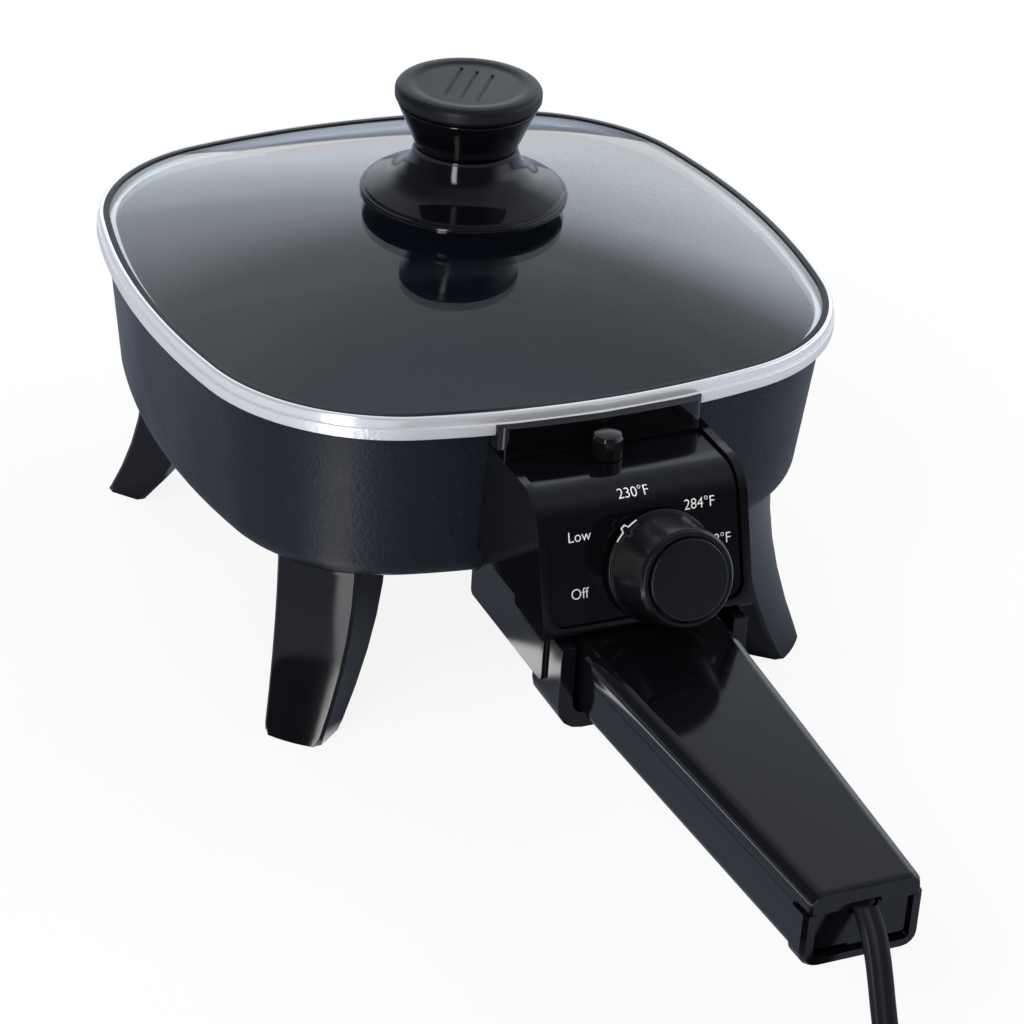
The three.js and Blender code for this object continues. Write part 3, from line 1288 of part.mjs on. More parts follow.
add('handle_top', handleTop(), finishes.phenolic);
add('handle_bottom', handleBottom(), finishes.phenolic);
add('handle_screw_root', handleScrew(0), finishes.steel);
add('handle_screw_end', handleScrew(1), finishes.steel);
add('cord_clamp', cordClamp(), finishes.phenolic);
add('supply_lead', supplyLead(), finishes.vinyl);
add('power_cord', powerCord(), finishes.vinyl);
add('cord_coil', cordCoil(), finishes.vinyl);
add('cord_tie', cordTie(), finishes.vinyl);
add('plug_body', plugBody(), finishes.vinyl);
add('plug_blade_wide', plugBlade(-1, widePin), finishes.brass);
add('plug_blade_narrow', plugBlade(1, narrowPin), finishes.brass);

add('lid_glass', lidGlass(), finishes.glass);
add('lid_rim', lidRim(), finishes.bareMetal);
add('lid_knob_gasket', lidKnobGasket(), finishes.silicone);
add('lid_knob_base', lidKnobBase(), finishes.phenolic);
add('lid_knob_grip', lidKnobGrip(), finishes.phenolic);
add('lid_knob_cap', lidKnobCap(), finishes.satin);
add('lid_knob_washer', lidKnobWasher(), finishes.steel);
add('lid_knob_screw', lidKnobScrew(), finishes.steel);

export default skillet;
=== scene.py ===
# %% [markdown]
# # Electric skillet with a glass lid
# A small square skillet stands on four splayed legs. It has a control box with a dial, a long hollow
# handle and a domed glass lid. The solid model gives every piece its place and size. This lesson
# dresses it: smooth surfaces, rounded edges, printed numbers and finishes.
#
# All lengths below are written in millimetres about the middle of the pan, and one helper turns
# them into metres in the frame of the solid model.

# %% Load the solid model
import json
import math
import bpy
import bmesh
import numpy as np
from mathutils import Matrix, Vector


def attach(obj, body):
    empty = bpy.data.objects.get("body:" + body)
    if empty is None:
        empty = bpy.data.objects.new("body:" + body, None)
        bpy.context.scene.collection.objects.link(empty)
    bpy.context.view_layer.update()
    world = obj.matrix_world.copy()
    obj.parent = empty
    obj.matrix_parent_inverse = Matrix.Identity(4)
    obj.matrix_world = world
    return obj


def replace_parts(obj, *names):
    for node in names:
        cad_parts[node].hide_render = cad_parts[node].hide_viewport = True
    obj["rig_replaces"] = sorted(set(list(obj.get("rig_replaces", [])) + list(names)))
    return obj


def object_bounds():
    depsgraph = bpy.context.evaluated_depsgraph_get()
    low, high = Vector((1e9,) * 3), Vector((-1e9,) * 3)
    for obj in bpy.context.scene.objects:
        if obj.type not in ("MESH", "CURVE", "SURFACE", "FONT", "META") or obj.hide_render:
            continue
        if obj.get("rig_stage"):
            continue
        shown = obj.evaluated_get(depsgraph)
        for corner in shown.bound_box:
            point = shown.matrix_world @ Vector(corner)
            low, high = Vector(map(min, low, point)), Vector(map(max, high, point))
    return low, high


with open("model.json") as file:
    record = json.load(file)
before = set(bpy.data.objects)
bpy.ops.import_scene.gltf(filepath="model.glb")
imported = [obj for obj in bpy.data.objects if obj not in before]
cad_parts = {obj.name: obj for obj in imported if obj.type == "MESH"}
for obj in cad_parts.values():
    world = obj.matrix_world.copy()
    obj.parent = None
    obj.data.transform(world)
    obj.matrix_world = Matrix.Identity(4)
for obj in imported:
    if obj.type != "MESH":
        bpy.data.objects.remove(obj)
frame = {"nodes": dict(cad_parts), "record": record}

scene = bpy.context.scene
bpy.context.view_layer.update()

MM = 0.001
PAN_MIDDLE_Y = 76.15


def placed(points):
    """Millimetres about the pan's middle become metres in the model's frame."""
    return (np.asarray(points, float) + np.array([0.0, PAN_MIDDLE_Y, 0.0])) * MM


def shown(name, data):
    """A new object with this data, linked into the scene."""
    thing = bpy.data.objects.new(name, data)
    scene.collection.objects.link(thing)
    return thing


def points_of(mesh):
    """The mesh's points in metres as an array, one row of x, y and z for each."""
    flat = np.empty(len(mesh.vertices) * 3)
    mesh.vertices.foreach_get("co", flat)
    return flat.reshape(-1, 3)


# %% [markdown]
# The camera stands where the photographer's did: a little left of the handle, thirty degrees above
# the table and almost a metre away. Its place was found by matching edges of the skillet, so it is
# written as a direction, a distance and a small roll.

# %% Camera
CAMERA_AIM, CAMERA_DISTANCE = np.array([-2.67, -22.7, 30.12]), 947.98
azimuth, elevation, roll = (math.radians(v) for v in (-24.4, 29.57, 3.31))
back = np.array([math.sin(azimuth) * math.cos(elevation), -math.cos(azimuth) * math.cos(elevation),
                 math.sin(elevation)])
level = np.array([math.cos(azimuth), math.sin(azimuth), 0.0])
upright = np.cross(back, level)
right = level * math.cos(roll) + upright * math.sin(roll)
upward = upright * math.cos(roll) - level * math.sin(roll)
camera_data = bpy.data.cameras.new("camera")
camera = shown("camera", camera_data)
eye = placed(CAMERA_AIM + back * CAMERA_DISTANCE)
axes_and_place = np.stack([right, upward, back, eye], axis=1)
camera.matrix_world = Matrix([*axes_and_place.tolist(), [0, 0, 0, 1]])
camera_data.sensor_width = 36.0
camera_data.lens = 117.24
camera_data.shift_x = 0.0408
camera_data.shift_y = -0.0027
camera_data.clip_start, camera_data.clip_end = 0.05, 20.0
scene.camera = camera
scene.view_settings.view_transform = "Standard"
print("camera at", [round(v, 3) for v in eye])

# %% [markdown]
# ## Turning number grids into surfaces
# Nearly every new piece is a grid of points: one way round or across, the other way along. The next
# helper joins neighbours into four-sided faces, closes the grid where it meets itself and turns the
# faces outwards. Poles are rows whose points all coincide, so merging them closes the surface.

# %% Grid helper
SHARP = 32
made = []


def surface(name, grid, body, slot, stands_for=(), wrap_rows=False, wrap_columns=True, extra=()):
    """grid[i, j] is a point in millimetres. Cell (i, j) becomes the face between rows i, i+1 and
    columns j, j+1. Several grids given in extra become shells of the same piece."""
    points, faces, offset = [], [], 0
    for g, wr, wc in [(np.asarray(grid, float), wrap_rows, wrap_columns), *extra]:
        rows, columns = g.shape[:2]
        r = np.arange(rows if wr else rows - 1)[:, None]
        c = np.arange(columns if wc else columns - 1)[None, :]
        r2, c2 = (r + 1) % rows, (c + 1) % columns
        quads = np.stack([r * columns + c, r * columns + c2, r2 * columns + c2, r2 * columns + c],
                         axis=-1)
        points.append(placed(g).reshape(-1, 3))
        faces.append(quads.reshape(-1, 4) + offset)
        offset += rows * columns
    mesh = bpy.data.meshes.new(name)
    mesh.from_pydata(np.concatenate(points).tolist(), [], np.concatenate(faces).tolist())
    piece = shown(name, mesh)
    clean(mesh)
    keep(piece, body, slot, stands_for)
    return piece


def clean(mesh):
    """Points closer than a hundredth of a millimetre merge, empty faces go, all faces turn outwards
    and edges sharper than SHARP degrees stay crisp."""
    work = bmesh.new()
    work.from_mesh(mesh)
    bmesh.ops.remove_doubles(work, verts=work.verts, dist=0.01 * MM)
    bmesh.ops.dissolve_degenerate(work, edges=work.edges, dist=0.001 * MM)
    bmesh.ops.recalc_face_normals(work, faces=work.faces)
    work.to_mesh(mesh)
    work.free()
    mesh.shade_smooth()
    mesh.set_sharp_from_angle(angle=math.radians(SHARP))


def keep(piece, body, slot, stands_for=()):
    """The piece moves with a body, waits for a finish and stands for some solids."""
    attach(piece, body)
    if stands_for:
        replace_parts(piece, *stands_for)
    made.append((piece, slot))


# %% [markdown]
# ## The cord comes first
# The flat two-core cord leaves a notch in the handle's end, bends down under its own weight, lands on
# the table and then lies wound in a neat coil with its plug beside it. Only the part nearest the
# handle is in view. The path repeats the solid model's route: points for the free stretch, and a
# formula for the coil, which winds inwards, climbs one layer and winds out again.

# %% Path of the cord
CORD_WIDTH, CORD_THICKNESS = 6.4, 3.2
free_route = np.array([
    [0, -248.2, 47.4], [0, -252.1, 43.9], [0, -255.4, 39.2], [0, -258.0, 34.0], [0, -260.4, 28.6],
    [0, -262.9, 23.4], [0, -265.9, 18.4], [0, -269.4, 13.8], [0, -273.9, 9.3], [0, -279.3, 5.9],
    [0, -285.4, 3.6], [0, -291.9, 2.65], [0, -297.9, 2.55]])


def smooth_line(points, per_span=6):
    """A centripetal spline: between two points the curve blends lines through four neighbours,
    with knots spaced by the square root of the distance, so it never overshoots at a short span."""
    p = np.vstack([2 * points[0] - points[1], points, 2 * points[-1] - points[-2]])
    gaps = np.sqrt(np.linalg.norm(np.diff(p, axis=0), axis=1))
    knots = np.concatenate([[0], np.cumsum(gaps)])
    i = np.arange(len(points) - 1)[:, None]
    share = np.linspace(0, 1, per_span, endpoint=False)[None, :]
    t = knots[i + 1] + (knots[i + 2] - knots[i + 1]) * share

    def mix(a, b, ta, tb):
        return ((tb - t)[..., None] * a + (t - ta)[..., None] * b) / (tb - ta)[..., None]

    a1 = mix(p[i], p[i + 1], knots[i], knots[i + 1])
    a2 = mix(p[i + 1], p[i + 2], knots[i + 1], knots[i + 2])
    a3 = mix(p[i + 2], p[i + 3], knots[i + 2], knots[i + 3])
    b1 = mix(a1, a2, knots[i], knots[i + 2])
    b2 = mix(a2, a3, knots[i + 1], knots[i + 3])
    curve = mix(b1, b2, knots[i + 1], knots[i + 2]).reshape(-1, 3)
    return np.vstack([curve, points[-1]])


def ease(t):
    """0 below 0, 1 above 1, and a soft S between."""
    t = np.clip(t, 0, 1)
    return t * t * (3 - 2 * t)


COIL_RADIUS, COIL_PITCH, TURNS_IN, CLIMB = 37.5, 3.9, 1.5, 0.5
COIL_LOW, ENTRY_EXTRA, DIP, TAIL = 1.1, 2.0, 1.6, 26.0
COIL_START_Y, LAYER_GAP, PLUG_MIDDLE_Z, STEPS_A_TURN = -298.2, 0.6, 5.7, 72
layer = CORD_WIDTH + LAYER_GAP
coil_middle = np.array([-COIL_RADIUS - ENTRY_EXTRA, COIL_START_Y - CORD_WIDTH])
turn = np.arange(0, 2 * TURNS_IN + CLIMB + 1e-6, 1 / STEPS_A_TURN)
late = turn - TURNS_IN
inner = COIL_RADIUS - COIL_PITCH * TURNS_IN
radius = np.where(late > CLIMB, inner + COIL_PITCH * (late - CLIMB),
                  np.where(late > 0, inner - COIL_PITCH * late + COIL_PITCH * late ** 2 / CLIMB,
                           COIL_RADIUS - COIL_PITCH * turn))
dip = np.clip((late + 0.2) / (CLIMB + 0.4), 0, 1)
radius = radius - DIP * np.sin(np.pi * dip) ** 2 + ENTRY_EXTRA * (1 - ease(4 * turn))
standing = ease(4 * turn)
high = np.hypot(np.cos(standing * np.pi / 2) * CORD_THICKNESS,
                np.sin(standing * np.pi / 2) * CORD_WIDTH) / 2
coil = np.stack([coil_middle[0] + radius * np.cos(-2 * np.pi * turn),
                 coil_middle[1] + radius * np.sin(-2 * np.pi * turn),
                 COIL_LOW + high + layer * ease(late / CLIMB)], axis=1)
away = np.linspace(0, 1, 25)[1:]
down = ease((away - 0.3) / 0.7)
tail = np.stack([np.full_like(away, coil[-1, 0]), coil[-1, 1] + TAIL * away,
                 coil[-1, 2] + (PLUG_MIDDLE_Z - coil[-1, 2]) * down], axis=1)
free = smooth_line(free_route)
path = np.vstack([free, coil, tail])
standing = np.concatenate([np.zeros(len(free)), standing, 1 - ease((away - 0.1) / 0.8)])

# %% [markdown]
# The cord's section is two round cores side by side with a shallow valley between them. The section
# is carried along the path. It lies flat at the handle and stands on edge in the coil, so one number
# per point says how far it has turned about its own axis.

# %% Cord surface
corner = np.linspace(0, 2 * np.pi, 28, endpoint=False)
lobe = CORD_THICKNESS / 2
VALLEY_DEPTH, VALLEY_HALF = 0.3, 0.55
section_wide = (np.sign(np.cos(corner)) * (CORD_WIDTH / 2 - lobe) * ease(np.abs(np.cos(corner)) * 2.2)
                + lobe * np.cos(corner))
section_thin = lobe * np.sin(corner) * (1 - VALLEY_DEPTH * np.exp(-(section_wide / VALLEY_HALF) ** 2))
along = np.gradient(path, axis=0)
along /= np.linalg.norm(along, axis=1)[:, None]
across = np.stack([along[:, 1], -along[:, 0], np.zeros(len(along))], axis=1)
across /= np.linalg.norm(across, axis=1)[:, None]
over = np.cross(across, along)
angle = (standing * np.pi / 2)[:, None]
wide = across * np.cos(angle) + over * np.sin(angle)
thin = -across * np.sin(angle) + over * np.cos(angle)
rings = (path[:, None, :] + wide[:, None, :] * section_wide[None, :, None]
         + thin[:, None, :] * section_thin[None, :, None])
ends = [np.repeat(path[k][None, None, :], len(corner), axis=1) for k in (0, -1)]
cord = surface("supply_cord", np.concatenate([ends[0], rings, ends[1]]), "skillet", "cord_vinyl",
               ("power_cord", "cord_coil"))

# %% [markdown]
# ## The outline of lid and pan
# Seen from above, lid and pan share one outline: four very shallow side arcs joined by four corner
# arcs. An offset moves a point square to the outline, so every wall and step follows the same shape.

# %% Outline
HALF_WIDTH, CORNER_RADIUS, SIDE_RADIUS = 95.0, 54.0, 233.6
side_centre = SIDE_RADIUS - HALF_WIDTH
corner_centre = (math.sqrt(2 * (SIDE_RADIUS - CORNER_RADIUS) ** 2 - side_centre ** 2) - side_centre) / 2
meeting = math.atan2(corner_centre, corner_centre + side_centre)


def outline(offset, z, side_steps=14, corner_steps=30):
    """One closed ring. Each quarter is a side arc and a corner arc, then turned by 90 degrees."""
    a = np.linspace(-meeting, meeting, side_steps, endpoint=False)
    b = np.linspace(meeting, np.pi / 2 - meeting, corner_steps, endpoint=False)
    x = np.concatenate([-side_centre + (SIDE_RADIUS + offset) * np.cos(a),
                        corner_centre + (CORNER_RADIUS + offset) * np.cos(b)])
    y = np.concatenate([(SIDE_RADIUS + offset) * np.sin(a),
                        corner_centre + (CORNER_RADIUS + offset) * np.sin(b)])
    q = np.arange(4)[:, None] * np.pi / 2
    ring = np.stack([x * np.cos(q) - y * np.sin(q), x * np.sin(q) + y * np.cos(q),
                     np.full((4, len(x)), float(z))], axis=-1)
    return ring.reshape(-1, 3)


def towards_middle(offset, share, z):
    """The outline drawn smaller by a share, blended towards a circle as it shrinks."""
    ring = outline(offset, z)
    angle = np.arctan2(ring[:, 1], ring[:, 0])
    round_part = (HALF_WIDTH + offset) * share * (1 - share)
    x = share ** 2 * ring[:, 0] + round_part * np.cos(angle)
    y = share ** 2 * ring[:, 1] + round_part * np.sin(angle)
    return np.stack([x, y, np.full(len(x), float(z))], axis=1)


def eased(corners, steps=6):
    """A profile with rounded corners. Each corner is (a, b, radius): the two straight parts are cut
    back by radius over the tangent of half the angle, and an arc of that radius joins them."""
    pts = [np.array(c[:2], float) for c in corners]
    radii = [c[2] if len(c) > 2 else 0.0 for c in corners]
    out = []
    for k, (p, r) in enumerate(zip(pts, radii)):
        if r <= 0 or k in (0, len(pts) - 1):
            out.append(p[None])
            continue
        u, v = pts[k - 1] - p, pts[k + 1] - p
        u, v = u / np.linalg.norm(u), v / np.linalg.norm(v)
        half = math.acos(np.clip(u @ v, -1, 1)) / 2
        middle = p + (u + v) / np.linalg.norm(u + v) * r / math.sin(half)
        start, end = p + u * r / math.tan(half) - middle, p + v * r / math.tan(half) - middle
        sweep = math.pi - 2 * half
        t = np.linspace(0, 1, steps + 1)[:, None]
        out.append(middle + (start * np.sin((1 - t) * sweep) + end * np.sin(t * sweep)) / math.sin(sweep))
    return np.concatenate(out)


print("corner arcs centre", round(corner_centre, 2), "meeting at", round(math.degrees(meeting), 2))

# %% [markdown]
# ## Pan
# The pan is one cast dish: a flat floor, a generous curve, walls that lean outwards by six degrees
# and a bright bare lip with a small rebate that seats the lid. One profile goes from the middle of
# the underside, over the lip and back to the middle of the floor, and is swept round the outline.

# %% Pan surface
PAN_LOW, LIP_TOP, WALL, BEND, DRAFT = 47.5, 98.2, 2.2, 9.0, math.radians(5.9)
LIP_UNDER, REBATE, WALL_INSIDE = LIP_TOP - 3.3, LIP_TOP - 2, -2.2
LIP_PROUD, UPSTAND_INNER = 0.6, -0.5


def wall_offset(z):
    """Offset of the outer wall: it starts 2.2 mm inside the outline under the lip and leans in."""
    return WALL_INSIDE - (LIP_UNDER - z) * math.tan(DRAFT)


bend_z = PAN_LOW + BEND
touch = wall_offset(bend_z - BEND * math.sin(DRAFT)) - BEND * math.cos(DRAFT)
sweep = np.linspace(-np.pi / 2, -DRAFT, 14)
outer_bend = np.stack([touch + BEND * np.cos(sweep), bend_z + BEND * np.sin(sweep)], axis=1)
inner_bend = np.stack([touch + (BEND - WALL) * np.cos(sweep),
                       bend_z + (BEND - WALL) * np.sin(sweep)], axis=1)[::-1]
inner_wall = wall_offset(REBATE) - WALL / math.cos(DRAFT)
lip = eased([
    (*outer_bend[-1], 0), (wall_offset(LIP_UNDER), LIP_UNDER, 0.7),
    (LIP_PROUD, LIP_UNDER, 0.5), (LIP_PROUD, LIP_TOP, 0.5), (UPSTAND_INNER, LIP_TOP, 0.3),
    (UPSTAND_INNER, REBATE, 0.25), (inner_wall, REBATE, 0.8), (*inner_bend[0], 0)])
profile = np.concatenate([outer_bend[:-1], lip, inner_bend[1:]])
shares = np.linspace(0, 1, 12) ** 0.8
pan_rings = [towards_middle(touch, s, PAN_LOW) for s in shares[:-1]]
pan_rings += [outline(d, z) for d, z in profile]
pan_rings += [towards_middle(touch, s, PAN_LOW + WALL) for s in shares[:-1][::-1]]


def post(x, y, r, low, top, chamfer=0.5, bore=0.0, depth=0.0, count=40):
    """A round boss as a grid: middle of the foot, rounded edge, side, top; a bore opens at the foot."""
    rows = [(bore, low + depth), (bore, low)] if bore else [(0, low)]
    rows = [(0, low + depth)] * bool(bore) + rows
    rows += [(r - chamfer, low), (r, low + chamfer), (r, top), (0, top)]
    turn_angle = np.linspace(0, 2 * np.pi, count, endpoint=False)
    rz = np.array(rows)
    return np.stack([x + rz[:, :1] * np.cos(turn_angle), y + rz[:, :1] * np.sin(turn_angle),
                     np.repeat(rz[:, 1:], count, axis=1)], axis=-1)


LEG_BOSS, STRAP_BOSS_X, STRAP_BOSS_Y = 66 / math.sqrt(2), 8, -68
BOSS_TOP = PAN_LOW + 0.9
bosses = [post(sx * LEG_BOSS, sy * LEG_BOSS, 5.5, PAN_LOW - 4, BOSS_TOP, bore=2.2, depth=3.5)
          for sx in (-1, 1) for sy in (-1, 1)]
bosses += [post(sx * STRAP_BOSS_X, STRAP_BOSS_Y, 5, PAN_LOW - 1.4, BOSS_TOP, 0.3, bore=1.8, depth=1.4)
           for sx in (-1, 1)]
pan = surface("pan", np.stack(pan_rings), "skillet", "pan_coating", ("pan_body",),
              extra=[(boss, False, True) for boss in bosses])
print("pan", len(pan.data.polygons), "faces")

# %% [markdown]
# ## Lid: glass dome and steel band
# The lid is a tempered glass dome, three millimetres thick, that is lower and flatter towards its
# edge. A folded steel band grips the edge, and its skirt drops into the pan's rebate. A seal fills
# the narrow gap between glass and band; its near-black colour is also painted shade for that gap.

# %% Lid surfaces
SEAT, GLASS_EDGE, GLASS, RISE = 96.5, 97.3, 3.0, 16.5
EDGE_TOP, EDGE_ROUND = GLASS_EDGE + GLASS, 0.45
edge_offset = -1.6


def dome(share):
    """Height of the glass top: flat at the crown, steeper near the edge."""
    return EDGE_TOP + RISE * (1 - share ** 1.9)


shares = np.concatenate([np.linspace(0.036, 0.9, 36), np.linspace(0.915, 1, 9)])
top = [towards_middle(edge_offset, s, dome(s)) for s in shares]
rim_round = [outline(edge_offset, EDGE_TOP - EDGE_ROUND),
             outline(edge_offset, EDGE_TOP - GLASS + EDGE_ROUND)]
under = [towards_middle(edge_offset, s, dome(s) - GLASS) for s in shares[::-1]]
surface("lid_dome", np.stack(top + rim_round + under), "lid", "lid_glass", ("lid_glass",),
        wrap_rows=True)


def round_the_lid(profile):
    """A profile of offsets and heights swept round the outline, with finer steps than the pan's."""
    return np.stack([outline(d, z, 18, 36) for d, z in profile])


BAND_INNER, BAND_START, BAND_TOP, BAND_STEEL, SKIRT_DROP, LID_PLAY = -1.3, 98.4, 101.1, 0.5, 1.9, 0.7
skirt = inner_wall - LID_PLAY
skirt_low = SEAT - SKIRT_DROP
band_profile = eased([
    (BAND_INNER, BAND_START), (BAND_INNER, BAND_TOP, 0.3), (0.0, BAND_TOP, 0.75),
    (-0.12, SEAT + 0.12, 0.15), (-0.8, SEAT + 0.05, 0.1), (-0.9, SEAT, 0.05),
    (skirt, SEAT, 0.4), (skirt, skirt_low, 0.2), (skirt - BAND_STEEL, skirt_low, 0.2),
    (skirt - BAND_STEEL, SEAT + BAND_STEEL, 0.5), (BAND_INNER, SEAT + BAND_STEEL, 0.2),
    (BAND_INNER, BAND_START)])
surface("lid_band", round_the_lid(band_profile), "lid", "lid_steel", ("lid_rim",), wrap_rows=True)
# The seal ring; its near-black finish is partly painted shade in the gap between glass and band.
seal_profile = eased([(-1.25, 99.9), (-1.25, BAND_TOP - 0.1, 0.1), (-3.0, BAND_TOP, 0.35),
                      (-3.2, 99.9, 0.1), (-1.25, 99.9)])
surface("lid_seal", round_the_lid(seal_profile), "lid", "silicone", wrap_rows=True)

# %% [markdown]
# ## Lid knob
# The knob is three mouldings on one screw: a wide flared guard that keeps fingers off the glass, a
# glossy cone that widens upwards, and a soft satin cap with three slanted grooves as finger grip.
# Each is a profile turned about the middle axis. The grooves are pressed into the cap by lowering
# grid points where they lie inside a groove, with a soft edge.

# %% Knob surfaces
def turned(profile, count=96):
    """Points (r, z) of a profile are turned about an upright axis."""
    profile = np.asarray(profile, float)
    a = np.linspace(0, 2 * np.pi, count, endpoint=False)
    r, z = profile[:, :1], profile[:, 1:2]
    return np.stack([r * np.cos(a), r * np.sin(a), np.repeat(z, count, axis=1)], axis=-1)


CROWN = EDGE_TOP + RISE
guard_z = CROWN + 1.1
BORE, GUARD_RADIUS, GUARD_HIGH = 2.1, 28.9, 15.2
guard = eased([
    (BORE, guard_z), (GUARD_RADIUS, guard_z, 0.8), (GUARD_RADIUS, guard_z + 2.3, 0.9),
    (27.9, guard_z + 2.4, 0.2), (27.3, guard_z + 3.0, 0.5), (20.6, guard_z + 5.5, 12.0),
    (15.9, guard_z + 9.9, 7.0), (14.5, guard_z + 14.2, 5.0), (14.4, guard_z + GUARD_HIGH, 0.3),
    (BORE, guard_z + GUARD_HIGH, 0.2), (BORE, guard_z)], 10)
surface("knob_guard", turned(guard), "lid", "phenolic", ("lid_knob_base",), wrap_rows=True)

grip_z = guard_z + 15.5
GRIP_HIGH, BORE_DEPTH = 12.2, 8.3
grip = eased([
    (0, grip_z + BORE_DEPTH), (BORE, grip_z + BORE_DEPTH), (BORE, grip_z), (14.2, grip_z, 0.4),
    (19.5, grip_z + GRIP_HIGH, 0.4), (0, grip_z + GRIP_HIGH)], 8)
surface("knob_grip", turned(grip), "lid", "phenolic", ("lid_knob_grip",))

cap_z = grip_z + 12.5
CAP_RADIUS, cap_flat_z = 20.2, cap_z + 4.45
cap_profile = eased([
    (0, cap_z), (19.2, cap_z, 0.2), (CAP_RADIUS, cap_z + 1.0, 0.9), (CAP_RADIUS, cap_z + 4.6, 2.0),
    (16.6, cap_z + 5.05, 6.0), (14.6, cap_z + 4.5, 3.0), (0, cap_flat_z)], 10)
radial = np.linspace(1, 0, 90)[1:]
flat_top = np.stack([14.2 * radial, np.full_like(radial, cap_flat_z)], axis=1)
cap_grid = turned(np.concatenate([cap_profile[:-1], flat_top]), 360)
slant = math.radians(36)
GROOVE_HALF_LENGTH, GROOVE_HALF_WIDTH, GROOVE_SOFT, GROOVE_DEPTH = 9.6, 0.12, 0.5, 0.5
on_top = cap_grid[..., 2] > cap_z + 3.6
gx = cap_grid[..., 0] * math.cos(slant) - cap_grid[..., 1] * math.sin(slant)
gy = cap_grid[..., 0] * math.sin(slant) + cap_grid[..., 1] * math.cos(slant)
for place, shift in ((-4.65, 1.1), (0.0, 0.0), (4.65, -1.2)):
    edge = np.hypot(gx - place, np.maximum(np.abs(gy - shift) - GROOVE_HALF_LENGTH, 0))
    pressed = GROOVE_DEPTH * (1 - ease((edge - GROOVE_HALF_WIDTH) / GROOVE_SOFT))
    cap_grid[..., 2] -= np.where(on_top, pressed, 0)
surface("knob_cap", cap_grid, "lid", "satin_black", ("lid_knob_cap",))

# %% [markdown]
# ## Dial
# The dial stands square to the leaning face of the control box: a tapered body on a thin skirt, and
# a separate disc in its end. It turns, so both pieces ride on the dial body, and so does a thin white
# line along the skirt's rim and round its pointer tab, which is a painted highlight.

# %% Dial surfaces
FACE_FOOT = np.array([0.0, -131.8, 55.0])
lean = np.array([0.0, 11.1, 36.0])
lean /= np.linalg.norm(lean)
outward = np.array([0.0, -lean[2], lean[1]])
DIAL_X, DIAL_UP, PANEL_INSET = 3.6, 15.1, 1.0
panel_foot = FACE_FOOT - outward * PANEL_INSET
dial_middle = FACE_FOOT + lean * DIAL_UP - outward * PANEL_INSET + np.array([DIAL_X, 0, 0])


def on_dial(points):
    """Points about the dial's axis (x right, y up the face, z out of it) go to their place."""
    p = np.asarray(points, float)
    return dial_middle + p[..., :1] * np.array([1.0, 0, 0]) + p[..., 1:2] * lean + p[..., 2:3] * outward


DIAL_LOW, DIAL_HIGH, SHAFT_BORE, SKIRT_RADIUS = 1.3, 17.7, 2.5, 15.0
dial_profile = eased([
    (SHAFT_BORE, 13), (SHAFT_BORE, DIAL_LOW), (SKIRT_RADIUS, DIAL_LOW, 0.3),
    (SKIRT_RADIUS, DIAL_LOW + 1.3, 0.4), (14.25, DIAL_LOW + 1.5, 0.2), (13.3, DIAL_HIGH - 4.5, 30.0),
    (12.95, DIAL_HIGH - 1.0, 0.6), (12.2, DIAL_HIGH, 0.5), (11.1, DIAL_HIGH, 0.25),
    (11.0, DIAL_HIGH - 1.1, 0.0), (0, DIAL_HIGH - 1.1)], 8)
dial_grid = turned(dial_profile, 360)
TAB_REACH, TAB_TURN, TAB_HALF_TURN, TAB_SLOPE_TURN = 1.15, 40.5, 3.4, 1.6


def tab(turn):
    """How far the skirt's small pointer tab stands out, by the angle in degrees from up to the left:
    its reach times the soft S of the angle left to its foot over the angle of its slope."""
    return TAB_REACH * ease((TAB_HALF_TURN - np.abs(turn - TAB_TURN)) / TAB_SLOPE_TURN)


turned_to = np.degrees(np.arctan2(-dial_grid[..., 0], dial_grid[..., 1]))
reach = np.hypot(dial_grid[..., 0], dial_grid[..., 1])
on_skirt = (reach > 14.3) & (dial_grid[..., 2] < DIAL_LOW + 1.45)
dial_grid[..., :2] *= np.where(on_skirt, (reach + tab(turned_to)) / reach, 1.0)[..., None]
surface("dial_body", on_dial(dial_grid), "dial", "satin_black", ("dial_knob",))
disc_profile = eased([
    (0, DIAL_HIGH - 0.8), (10.7, DIAL_HIGH - 0.8), (10.7, DIAL_HIGH + 1.1, 0.45),
    (9.9, DIAL_HIGH + 1.15, 0.2), (0, DIAL_HIGH + 1.0)], 6)
surface("dial_disc", on_dial(turned(disc_profile, 120)), "dial", "satin_black", ("dial_knob_cap",))


# A painted highlight: a thin white line along the upper left of the skirt's rim and round its tab.
LINE_FROM, LINE_TO, LINE_RADIUS, LINE_HALF_WIDTH = 26, 55, 14.84, 0.17
LINE_HIGH, LINE_THICKNESS, TAB_SIDE_TURN = 1.28, 0.2, 0.7


def rim_highlight_grid(count=90):
    """Rows across a thin white line on the skirt's rim, a painted highlight: the angle from up runs along
    it, the radius across it, and the line follows the tab outwards. The end columns shrink to a point,
    which closes it."""
    turn = np.concatenate([[LINE_FROM], np.linspace(LINE_FROM, LINE_TO, count), [LINE_TO]])
    open_here = np.ones(len(turn))
    open_here[[0, -1]] = 0
    rim = []
    for side, top in ((-1, 0), (1, 0), (1, 1), (-1, 1)):
        r = LINE_RADIUS + tab(turn + side * TAB_SIDE_TURN * np.sign(TAB_TURN - turn))
        r = r + side * LINE_HALF_WIDTH * open_here
        z = DIAL_LOW + LINE_HIGH + (top - 0.5) * LINE_THICKNESS * open_here
        rim.append(np.stack([-r * np.sin(np.radians(turn)), r * np.cos(np.radians(turn)), z], axis=-1))
    return np.stack(rim)


# The painted highlight on the skirt's rim rides on the dial in white ink.
surface("dial_rim_highlight", on_dial(rim_highlight_grid()), "dial", "white_ink", wrap_rows=True,
        wrap_columns=False)
print("dial axis", np.round(outward, 3), "through", np.round(placed(dial_middle), 4))

